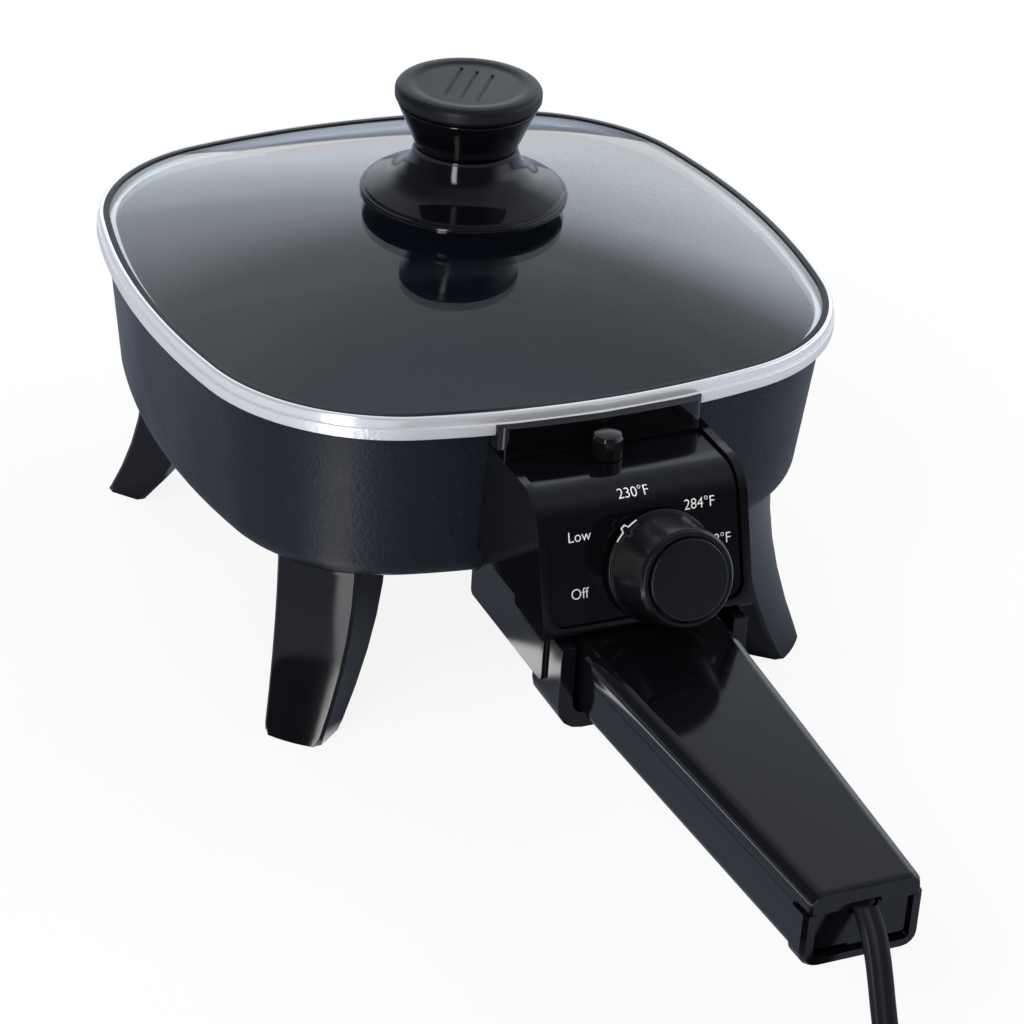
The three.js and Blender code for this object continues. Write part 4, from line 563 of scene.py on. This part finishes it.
# %% [markdown]
# ## Moulded housings, legs and small metal
# Housings, handle, legs, strap and screws already have their right shape in the solid model, but
# its edges are razor sharp. A copy of each gets the small radius that a real moulding has: points
# are merged, flat regions joined, and a Bevel modifier rounds what is left, while Weighted Normal
# keeps the flats flat in the reflections.

# %% Rounded copies of the solids
PARTING_ROOT_Z, PARTING_RISE, HANDLE_ROOT_Y, HANDLE_LENGTH = 47.5, 0.5, -121.8, 126.1
PARTING_NEAR, HALF_HAIRLINE = 0.2, 0.04


def close_parting(mesh):
    """The handle halves meet in a hairline: points near the sloping parting plane move to half the
    hairline's width from it. The plane's height grows evenly from the handle's root to its end."""
    points = points_of(mesh)
    from_root = PAN_MIDDLE_Y + HANDLE_ROOT_Y - points[:, 1] / MM
    plane = (PARTING_ROOT_Z + PARTING_RISE * from_root / HANDLE_LENGTH) * MM
    off = points[:, 2] - plane
    near = np.abs(off) < PARTING_NEAR * MM
    points[near, 2] = plane[near] + np.sign(off[near]) * HALF_HAIRLINE * MM
    mesh.vertices.foreach_set("co", points.ravel())
    print("parting line", int(near.sum()), "points")


LEG_OUTER, LEG_SPLAY, LEG_CURVE_TOP = 93.0, 13.7, 48.3
LEG_HALF, LEG_NARROWS, LEG_CROWN, FACE_NEAR = 11.7, 3.4, 0.95, 0.3
LEG_STRIPS = (0, 1.5, 3, 4.5, 6, 7.2, 8.4, 9.6)


def crowned(mesh, side_x, side_y):
    """A leg's outer face is slightly convex across. Its points move out along the diagonal by the
    crown times one minus the square of their place across over the half width at their height."""
    points = points_of(mesh)
    x, y, z = points[:, 0] / MM, points[:, 1] / MM - PAN_MIDDLE_Y, points[:, 2] / MM
    out = (x * side_x + y * side_y) / math.sqrt(2)
    across = (y * side_x - x * side_y) / math.sqrt(2)
    down = np.clip(1 - z / LEG_CURVE_TOP, 0, 1) ** 2
    half = LEG_HALF - LEG_NARROWS * down
    on_face = np.abs(out - LEG_OUTER - LEG_SPLAY * down) < FACE_NEAR
    on_face &= np.abs(across) < half
    push = np.where(on_face, LEG_CROWN * (1 - (across / half) ** 2), 0) * MM / math.sqrt(2)
    points[:, 0] += push * side_x
    points[:, 1] += push * side_y
    mesh.vertices.foreach_set("co", points.ravel())
    print("leg face", int(on_face.sum()), "points")


def rounded_copy(node, slot, width, segments=3, leg_side=None):
    """Copies a solid, joins its flat facets and rounds its edges by a width in millimetres. A leg is
    also cut into upright strips, so that its outer face can be crowned."""
    mesh = frame["nodes"][node].data.copy()
    if node.startswith("handle_") and slot == "phenolic":
        close_parting(mesh)
    work = bmesh.new()
    work.from_mesh(mesh)
    bmesh.ops.remove_doubles(work, verts=work.verts, dist=0.002 * MM)
    bmesh.ops.dissolve_limit(work, angle_limit=math.radians(0.6), verts=work.verts, edges=work.edges)
    if leg_side:
        across = Vector((-leg_side[1], leg_side[0], 0)).normalized()
        for place in sorted({side * strip for side in (-1, 1) for strip in LEG_STRIPS}):
            everything = work.verts[:] + work.edges[:] + work.faces[:]
            bmesh.ops.bisect_plane(work, geom=everything, plane_no=across,
                                   plane_co=Vector((0, PAN_MIDDLE_Y * MM, 0)) + across * place * MM)
    bmesh.ops.recalc_face_normals(work, faces=work.faces)
    work.to_mesh(mesh)
    work.free()
    if leg_side:
        crowned(mesh, *leg_side)
    mesh.materials.clear()
    mesh.shade_smooth()
    piece = shown("fine_" + node, mesh)
    bevel = piece.modifiers.new("edges", "BEVEL")
    bevel.width, bevel.segments = width * MM, segments
    bevel.limit_method, bevel.angle_limit = "ANGLE", math.radians(BEVEL_FROM)
    even = piece.modifiers.new("even", "WEIGHTED_NORMAL")
    even.keep_sharp = True
    keep(piece, "skillet", slot, (node,))


BEVEL_FROM = 28
for node, width in {"control_cover": 0.5, "control_base": 0.45, "dial_panel": 0.25, "handle_top": 0.16,
                    "handle_bottom": 0.16, "indicator_lens": 0.3, "cord_clamp": 0.3}.items():
    rounded_copy(node, "lamp_lens" if node == "indicator_lens" else "phenolic", width)
for corner_name, side in {"front_left": (-1, -1), "front_right": (1, -1),
                          "rear_left": (-1, 1), "rear_right": (1, 1)}.items():
    rounded_copy("leg_" + corner_name, "phenolic", 0.5, leg_side=side)
    rounded_copy("leg_screw_" + corner_name, "steel", 0.3, 2)
for node in ("mounting_strap", "strap_screw_left", "strap_screw_right", "housing_screw_left",
             "housing_screw_right", "handle_screw_root", "handle_screw_end", "element_clamp_left",
             "element_clamp_right", "element_clamp_rear"):
    rounded_copy(node, "steel", 0.15, 2)
print(len(made), "pieces so far")

# %% [markdown]
# ## Printed scale
# The scale is white ink on the face: two words and three temperatures round the dial. The third is
# mostly hidden by the dial in the photograph, so its figures are a guess. Text starts as a curve,
# becomes a mesh with a hair of thickness and is then laid on the face.

# %% Printed words and numbers
BEND_FROM, BEND_RADIUS = 29.99, 9.4
LETTER_SIZE, LETTER_NARROWING = 4.0, 0.93
INK_HALF_THICKNESS, INK_RAISE, STROKE_THINNING = 0.04, 0.035, 0.035


def on_panel(x, up, high):
    """Points on the panel: x across, up along its skin from the face's foot, high out of it. The skin
    is flat up to BEND_FROM, then an arc: the way along it divided by the radius is the angle turned."""
    turned_by = np.maximum(up - BEND_FROM, 0) / BEND_RADIUS
    straight = np.minimum(up, BEND_FROM)
    along_face = straight + (BEND_RADIUS + high) * np.sin(turned_by)
    out_of_face = (BEND_RADIUS + high) * np.cos(turned_by) - BEND_RADIUS
    return (panel_foot + x[:, None] * np.array([1.0, 0, 0]) + along_face[:, None] * lean
            + out_of_face[:, None] * outward)


def printed(name, text, x, up):
    """Centred text is laid on the panel face at x across and up along it, in millimetres."""
    curve = bpy.data.curves.new(name, "FONT")
    curve.body, curve.size = text, LETTER_SIZE
    curve.align_x, curve.align_y = "CENTER", "CENTER"
    curve.extrude, curve.resolution_u, curve.offset = INK_HALF_THICKNESS, 6, -STROKE_THINNING
    holder = shown(name + "_curve", curve)
    mesh = bpy.data.meshes.new_from_object(holder.evaluated_get(bpy.context.evaluated_depsgraph_get()))
    bpy.data.objects.remove(holder)
    flat = points_of(mesh)
    place = on_panel(flat[:, 0] * LETTER_NARROWING + x, flat[:, 1] + up, flat[:, 2] + INK_RAISE)
    mesh.vertices.foreach_set("co", placed(place).ravel())
    piece = shown(name, mesh)
    clean(mesh)
    keep(piece, "skillet", "white_ink")


for name, text, x, up in (("word_off", "Off", -18.6, 11.0), ("word_low", "Low", -17.8, 25.9),
                          ("mark_230", "230°F", -1.7, 35.0), ("mark_284", "284°F", 16.1, 29.4),
                          ("mark_338", "338°F", 20.2, 19.1)):
    printed(name, text, x, up)

# %% [markdown]
# ## Finishes
# Two effects come back in several finishes: fine surface relief and faint handling marks. Each is a
# node group with named inputs, built once and placed in every material with its own values.

# %% Node helpers and groups
def add(tree, kind, inputs, **settings):
    """Adds a shader node: settings go on the node itself and then inputs on its sockets, by name or
    number. An input that is itself a socket is linked, and any other is a plain value."""
    node = tree.nodes.new("ShaderNode" + kind)
    for name, value in settings.items():
        setattr(node, name, value)
    for key, value in inputs.items():
        if isinstance(value, bpy.types.NodeSocket):
            tree.links.new(value, node.inputs[key])
        else:
            node.inputs[key].default_value = value
    return node


def math_of(tree, operation, first, second):
    """The result of one sum on two values."""
    return add(tree, "Math", {0: first, 1: second}, operation=operation).outputs["Value"]


def colour_mix(tree, factor, a, b):
    """Colour a where the factor is 0 and b where it is 1."""
    return add(tree, "Mix", {"Factor": factor, "A": a, "B": b}, data_type="RGBA").outputs["Result"]


def spread(tree, value, low, high, **settings):
    """The value as 0 at low and 1 at high."""
    inputs = {"Value": value, "From Min": low, "From Max": high}
    return add(tree, "MapRange", inputs, **settings)


def group(name, inputs, output):
    """A shader node group with its input sockets and one output, both still unlinked."""
    tree = bpy.data.node_groups.new(name, "ShaderNodeTree")
    for label, kind, value in inputs:
        socket = tree.interface.new_socket(label, in_out="INPUT", socket_type=kind)
        if value is not None:
            socket.default_value = value
    tree.interface.new_socket(output[0], in_out="OUTPUT", socket_type=output[1])
    return tree, tree.nodes.new("NodeGroupInput").outputs, tree.nodes.new("NodeGroupOutput").inputs


def fine_relief_group():
    """Fine noise becomes a height, and the height becomes a normal."""
    tree, given, result = group(
        "fine_relief", [("Place", "NodeSocketVector", None), ("Scale", "NodeSocketFloat", 900.0),
                        ("Depth", "NodeSocketFloat", 0.02), ("Strength", "NodeSocketFloat", 0.3)],
        ("Normal", "NodeSocketVector"))
    fine = add(tree, "TexNoise", {"Vector": given["Place"], "Scale": given["Scale"],
                                  "Detail": 3.0, "Roughness": 0.55})
    bump = add(tree, "Bump", {"Height": fine.outputs["Fac"], "Distance": given["Depth"],
                              "Strength": given["Strength"]})
    tree.links.new(bump.outputs["Normal"], result["Normal"])
    return tree


def handling_group():
    """Soft smudges: large noise, sharpened, moves the roughness between a low and a high value."""
    tree, given, result = group(
        "handling_marks", [("Place", "NodeSocketVector", None), ("Scale", "NodeSocketFloat", 40.0),
                           ("Low", "NodeSocketFloat", 0.1), ("High", "NodeSocketFloat", 0.2)],
        ("Roughness", "NodeSocketFloat"))
    cloud = add(tree, "TexNoise", {"Vector": given["Place"], "Scale": given["Scale"], "Detail": 4.0})
    between = spread(tree, cloud.outputs["Fac"], 0.35, 0.7)
    tree.links.new(given["Low"], between.inputs["To Min"])
    tree.links.new(given["High"], between.inputs["To Max"])
    tree.links.new(between.outputs["Result"], result["Roughness"])
    return tree


fine_relief, handling_marks = fine_relief_group(), handling_group()
SMUDGE_SCALE = 40.0


def finish(name, colour, low, high, metallic=0.0, *, relief, **plain):
    """One Principled material: even colour, roughness from the handling group, normal from the
    relief group, whose three values are scale, depth in metres and strength."""
    material = bpy.data.materials.new(name)
    material.use_nodes = True
    tree = material.node_tree
    shader = tree.nodes["Principled BSDF"]
    shader.inputs["Base Color"].default_value = (*colour, 1.0)
    shader.inputs["Metallic"].default_value = metallic
    for socket, value in plain.items():
        shader.inputs[socket].default_value = value
    place = add(tree, "TexCoord", {}).outputs["Object"]
    marks = add(tree, "Group", {}, node_tree=handling_marks)
    grain = add(tree, "Group", {}, node_tree=fine_relief)
    for node, values in ((marks, {"Scale": SMUDGE_SCALE, "Low": low, "High": high}),
                         (grain, dict(zip(("Scale", "Depth", "Strength"), relief)))):
        tree.links.new(place, node.inputs["Place"])
        for socket, value in values.items():
            node.inputs[socket].default_value = value
    tree.links.new(marks.outputs["Roughness"], shader.inputs["Roughness"])
    tree.links.new(grain.outputs["Normal"], shader.inputs["Normal"])
    return material


# %% [markdown]
# Most of the skillet is black, but no two blacks are alike. The phenolic mouldings are glossy, the
# dial is a little duller, the knob's cap is satin and the cord is matte vinyl. The steel band is
# polished.

# %% Materials
MICRON = 0.000001
finishes = {
    "phenolic": finish("glossy_phenolic", (0.0025, 0.0025, 0.0036), 0.07, 0.12,
                       relief=(260.0, 20 * MICRON, 0.08), IOR=1.45),
    "satin_black": finish("satin_moulding", (0.0065, 0.0065, 0.0095), 0.34, 0.42,
                          relief=(3200.0, 20 * MICRON, 0.2), IOR=1.35),
    "dial_moulding": finish("dial_moulding", (0.005, 0.005, 0.0065), 0.2, 0.27,
                            relief=(1800.0, 10 * MICRON, 0.12), IOR=1.42),
    "lamp_lens": finish("dark_lens", (0.005, 0.004, 0.004), 0.06, 0.1,
                        relief=(400.0, 10 * MICRON, 0.05)),
    "lid_steel": finish("polished_band", (0.92, 0.92, 0.93), 0.14, 0.22, 0.6,
                        relief=(2400.0, 10 * MICRON, 0.08)),
    # The seal's near-black is partly painted shade: it darkens the gap between glass and band.
    "seal_and_painted_shade": finish("seal_and_painted_shade", (0.004, 0.004, 0.005), 0.3, 0.4,
                         relief=(2400.0, 10 * MICRON, 0.1), IOR=1.35),
    "steel": finish("plated_steel", (0.55, 0.55, 0.57), 0.28, 0.4, 1.0,
                    relief=(2000.0, 10 * MICRON, 0.15)),
    "element_steel": finish("element_sheath", (0.20, 0.19, 0.19), 0.45, 0.6, 1.0,
                            relief=(1500.0, 30 * MICRON, 0.3)),
    "brass": finish("plain_brass", (0.68, 0.50, 0.25), 0.25, 0.4, 1.0,
                    relief=(2000.0, 10 * MICRON, 0.15)),
    "ceramic": finish("ceramic", (0.72, 0.70, 0.64), 0.6, 0.75, relief=(2500.0, 20 * MICRON, 0.3)),
    "neon_glass": finish("neon_glass", (0.75, 0.42, 0.25), 0.08, 0.12,
                         relief=(300.0, 10 * MICRON, 0.05)),
    "silicone": finish("silicone", (0.20, 0.20, 0.21), 0.55, 0.65, relief=(2000.0, 20 * MICRON, 0.2)),
    "cord_vinyl": finish("cord_vinyl", (0.006, 0.006, 0.008), 0.36, 0.46,
                         relief=(2200.0, 30 * MICRON, 0.25), IOR=1.4),
    "plug_vinyl": finish("plug_vinyl", (0.016, 0.016, 0.018), 0.42, 0.52,
                         relief=(2600.0, 30 * MICRON, 0.3)),
    "white_ink": finish("white_ink", (0.86, 0.86, 0.86), 0.4, 0.5, relief=(4000.0, 10 * MICRON, 0.1)),
    "pan_coating": finish("charcoal_coating", (0.006, 0.008, 0.013), 0.38, 0.46,
                          relief=(850.0, 180 * MICRON, 0.85), IOR=1.35),
    "lid_glass": finish("tempered_glass", (0.93, 0.96, 0.97), 0.0, 0.01,
                        relief=(60.0, 10 * MICRON, 0.02)),
}

# %% [markdown]
# The pan's finish has two parts: dark coating with a fine pebble and faint lighter specks painted in
# as glints, and bare metal on the lip. Height decides which: everything above the coating's edge is
# metal.

# %% Pan coating and bare lip
COATING_ENDS, BARE_FROM = (LIP_UNDER + 0.05) * MM, (LIP_UNDER + 0.2) * MM
BARE_METALLIC, BARE_ROUGHNESS = 0.5, 0.26
coat = finishes["pan_coating"].node_tree
shader = coat.nodes["Principled BSDF"]
place = next(n for n in coat.nodes if n.bl_idname == "ShaderNodeTexCoord").outputs["Object"]
marks = next(n for n in coat.nodes if n.bl_idname == "ShaderNodeGroup" and n.node_tree == handling_marks)
height = add(coat, "SeparateXYZ", {"Vector": place}).outputs["Z"]
bare = spread(coat, height, COATING_ENDS, BARE_FROM).outputs["Result"]
# Lighter specks in the coating's colour are painted glints.
painted_glints = add(coat, "TexNoise", {"Vector": place, "Scale": 2600.0, "Detail": 1.0}).outputs["Fac"]
glint_speck_colour = colour_mix(coat, spread(coat, painted_glints, 0.68, 0.78).outputs["Result"],
                          (0.0055, 0.0075, 0.0135, 1), (0.04, 0.048, 0.068, 1))
coat.links.new(colour_mix(coat, bare, glint_speck_colour, (0.80, 0.80, 0.82, 1)), shader.inputs["Base Color"])
metal = add(coat, "MapRange", {"Value": bare, "To Max": BARE_METALLIC})
coat.links.new(metal.outputs["Result"], shader.inputs["Metallic"])
rough = add(coat, "Mix", {"Factor": bare, "A": marks.outputs["Roughness"], "B": BARE_ROUGHNESS})
coat.links.new(rough.outputs["Result"], shader.inputs["Roughness"])

# %% [markdown]
# The lid's glass bends light, but its shadow should not be black: for shadow rays the material is
# mixed with a tinted clear shader, so light reaches the pan as it does through thin glass.

# %% Lid glass
glass = finishes["lid_glass"].node_tree
shader = glass.nodes["Principled BSDF"]
shader.inputs["Transmission Weight"].default_value = 1.0
shader.inputs["IOR"].default_value = 1.5
clear = add(glass, "BsdfTransparent", {"Color": (0.9, 0.94, 0.95, 1)})
mixer = add(glass, "MixShader", {"Fac": add(glass, "LightPath", {}).outputs["Is Shadow Ray"],
                                 1: shader.outputs["BSDF"], 2: clear.outputs["BSDF"]})
glass.links.new(mixer.outputs["Shader"], glass.nodes["Material Output"].inputs["Surface"])

# %% [markdown]
# Every new piece takes the material of its slot, and three take one of their own. The small solids
# that stay as they are get theirs through the slot that the record gives them.

# %% Put finishes on pieces
# The seal takes a near-black of its own, which is partly painted shade in the gap under the band.
own_finish = {"lid_seal": "seal_and_painted_shade", "dial_body": "dial_moulding", "dial_disc": "dial_moulding"}
for piece, slot in made:
    piece.data.materials.clear()
    piece.data.materials.append(finishes[own_finish.get(piece.name, slot)])
replaced = {name for piece, slot in made for name in piece.get("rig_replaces", [])}
for entry in frame["record"]["subparts"]:
    if entry["node"] not in replaced:
        solid = frame["nodes"][entry["node"]]
        solid.data.materials.clear()
        solid.data.materials.append(finishes[entry["material_slot"]])
print(len(made), "new pieces,", len(frame["nodes"]) - len(replaced), "solids kept")

# %% [markdown]
# ## Studio
# A white floor lies under an even sky. The camera sees both as nearly white, also through the glass.
# Mirrored rays see something else: the floor in a greyer tone, and on it a bright line, which is
# painted where a tall narrow lamp on the left would shine. Two masks tell the kinds of ray apart.

# %% Floor
LAMP_LINE = math.radians(44.4)
FLOOR_HALF, FLOOR_GLOW, LINE_GLOW = 6, 0.88, 3.0


def level_direction(a):
    """The level direction at an azimuth, counted from the handle's side towards the left."""
    return (-math.sin(a), -math.cos(a), 0)


def ray_kinds(tree):
    """The light path's outputs and two masks: rays that a glossy surface has mirrored, and rays that
    come to the camera straight or only through glass."""
    rays = add(tree, "LightPath", {}).outputs
    mirrored = math_of(tree, "GREATER_THAN", rays["Glossy Depth"], 0.5)
    straight = math_of(tree, "SUBTRACT", rays["Is Transmission Ray"], mirrored)
    return rays, mirrored, math_of(tree, "MAXIMUM", rays["Is Camera Ray"], straight)


floor_mesh = bpy.data.meshes.new("floor")
floor_mesh.from_pydata([(x * FLOOR_HALF, y * FLOOR_HALF, 0) for x, y in ((-1, -1), (1, -1), (1, 1), (-1, 1))],
                       [], [(0, 1, 2, 3)])
floor = shown("floor", floor_mesh)
floor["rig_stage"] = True
paper = bpy.data.materials.new("white_paper")
paper.use_nodes = True
tree = paper.node_tree
shader = tree.nodes["Principled BSDF"]
shader.inputs["Roughness"].default_value = 0.9
shader.inputs["Specular IOR Level"].default_value = 0.0
_, mirrored, seen = ray_kinds(tree)
tree.links.new(colour_mix(tree, mirrored, (0.88, 0.88, 0.89, 1), (0.37, 0.41, 0.50, 1)),
               shader.inputs["Base Color"])
glow = add(tree, "Emission", {"Strength": 1.0})
blend = add(tree, "MixShader", {"Fac": math_of(tree, "MULTIPLY", seen, FLOOR_GLOW),
                                1: shader.outputs["BSDF"], 2: glow.outputs["Emission"]})
where = add(tree, "NewGeometry", {}).outputs["Position"]
from_pan = add(tree, "VectorMath", {0: where, 1: (0, PAN_MIDDLE_Y * MM, 0)}, operation="SUBTRACT")
unit = add(tree, "VectorMath", {0: from_pan.outputs["Vector"]}, operation="NORMALIZE")
towards = add(tree, "VectorMath", {0: unit.outputs["Vector"], 1: level_direction(LAMP_LINE)},
              operation="DOT_PRODUCT")
on_line = spread(tree, towards.outputs["Value"], 0.9940, 0.9985, interpolation_type="SMOOTHSTEP")
on_line.inputs["To Max"].default_value = LINE_GLOW
line = add(tree, "Emission", {"Strength": math_of(tree, "MULTIPLY", on_line.outputs["Result"], mirrored)})
both = add(tree, "AddShader", {0: blend.outputs["Shader"], 1: line.outputs["Emission"]})
tree.links.new(both.outputs["Shader"], tree.nodes["Material Output"].inputs["Surface"])
floor_mesh.materials.append(paper)

# %% [markdown]
# The sky has three parts. Camera rays see plain white. Soft light on matte surfaces comes from an
# even sky. Mirrored rays see a room: behind the skillet a pale wall that is white at the horizon and
# greyer above, dim on the left, in front of it a dark room, and in that the upper part of the same
# painted lamp, which draws a bright line on upright glossy walls.

# %% Sky
EVEN_LEVEL, LAMP_GLOW = 0.6, 9.0
sky = bpy.data.worlds.new("studio")
scene.world = sky
sky.use_nodes = True
tree = sky.node_tree
even = tree.nodes["Background"]
even.inputs["Color"].default_value = (0.97, 0.98, 1.0, 1)
even.inputs["Strength"].default_value = EVEN_LEVEL
direction = add(tree, "TexCoord", {}).outputs["Generated"]
up_share = add(tree, "SeparateXYZ", {"Vector": direction}).outputs["Z"]
ramp = add(tree, "ValToRGB", {"Fac": up_share})
stops = ramp.color_ramp
stops.elements[0].position, stops.elements[0].color = 0.0, (1.0, 1.0, 1.0, 1)
stops.elements[1].position, stops.elements[1].color = 1.0, (0.32, 0.36, 0.45, 1)
for position, grey in ((0.12, 1.4), (0.34, 1.4), (0.45, 1.15), (0.56, 0.62), (0.76, 0.5)):
    stop = stops.elements.new(position)
    stop.color = (grey * 0.84, grey * 0.91, grey, 1)


def facing(a, from_value, to_value, level=False):
    """How far a level direction at an azimuth is faced, as 0 to 1: the dot product of the ray,
    flattened first where level is set, with that direction, spread between two values."""
    source = direction
    if level:
        flat = add(tree, "VectorMath", {0: source, 1: (1, 1, 0)}, operation="MULTIPLY")
        source = add(tree, "VectorMath", {0: flat.outputs["Vector"]}, operation="NORMALIZE").outputs["Vector"]
    dot = add(tree, "VectorMath", {0: source, 1: level_direction(a)}, operation="DOT_PRODUCT")
    return spread(tree, dot.outputs["Value"], from_value, to_value,
                  interpolation_type="SMOOTHSTEP").outputs["Result"]


left = colour_mix(tree, facing(math.radians(100), 0.1, 0.62), ramp.outputs["Color"],
                  (0.12, 0.135, 0.17, 1))
room = colour_mix(tree, facing(math.radians(20), 0.05, 0.7), left, (0.07, 0.075, 0.09, 1))
not_above = spread(tree, up_share, 0.55, 0.72)
not_above.inputs["To Min"].default_value, not_above.inputs["To Max"].default_value = 1.0, 0.0
in_line = math_of(tree, "MULTIPLY", facing(LAMP_LINE, 0.9945, 0.9985, level=True),
                  not_above.outputs["Result"])
with_lamp = colour_mix(tree, in_line, room, (LAMP_GLOW, LAMP_GLOW, LAMP_GLOW, 1))
mirror = add(tree, "Background", {"Color": with_lamp})
white = add(tree, "Background", {"Strength": 1.0})
rays, mirrored, seen = ray_kinds(tree)
matte = math_of(tree, "SUBTRACT", mirrored, rays["Is Diffuse Ray"])
to_mirror = add(tree, "MixShader", {"Fac": matte, 1: even.outputs["Background"],
                                    2: mirror.outputs["Background"]})
to_white = add(tree, "MixShader", {"Fac": seen, 1: to_mirror.outputs["Shader"],
                                   2: white.outputs["Background"]})
tree.links.new(to_white.outputs["Shader"], tree.nodes["World Output"].inputs["Surface"])

# %% [markdown]
# Three softboxes add direction to the soft light: one high on the left, a taller one on the right and
# a strip behind. Reflections don't show them, because the sky above already holds what gloss sees.

# %% Softboxes
def softbox(name, place, aim, width, height, watts):
    """A rectangular lamp at a place in metres, turned to face a point."""
    data = bpy.data.lights.new(name, "AREA")
    data.shape, data.size, data.size_y, data.energy = "RECTANGLE", width, height, watts
    lamp = shown(name, data)
    lamp.visible_glossy = lamp.visible_transmission = False
    lamp.location = place
    lamp.rotation_mode = "QUATERNION"
    lamp.rotation_quaternion = (Vector(aim) - Vector(place)).to_track_quat("-Z", "Y")


softbox("left_box", (-1.5, -0.9, 1.6), (0, 0, 0.05), 1.0, 1.0, 26)
softbox("right_box", (1.7, -0.2, 1.2), (0, 0, 0.05), 0.7, 1.2, 14)
softbox("rear_strip", (0.2, 1.9, 1.1), (0, 0.05, 0.08), 1.8, 0.35, 12)

# %% Sizes and end
low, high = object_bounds()
print("visual box", [round(v, 4) for v in low], [round(v, 4) for v in high])
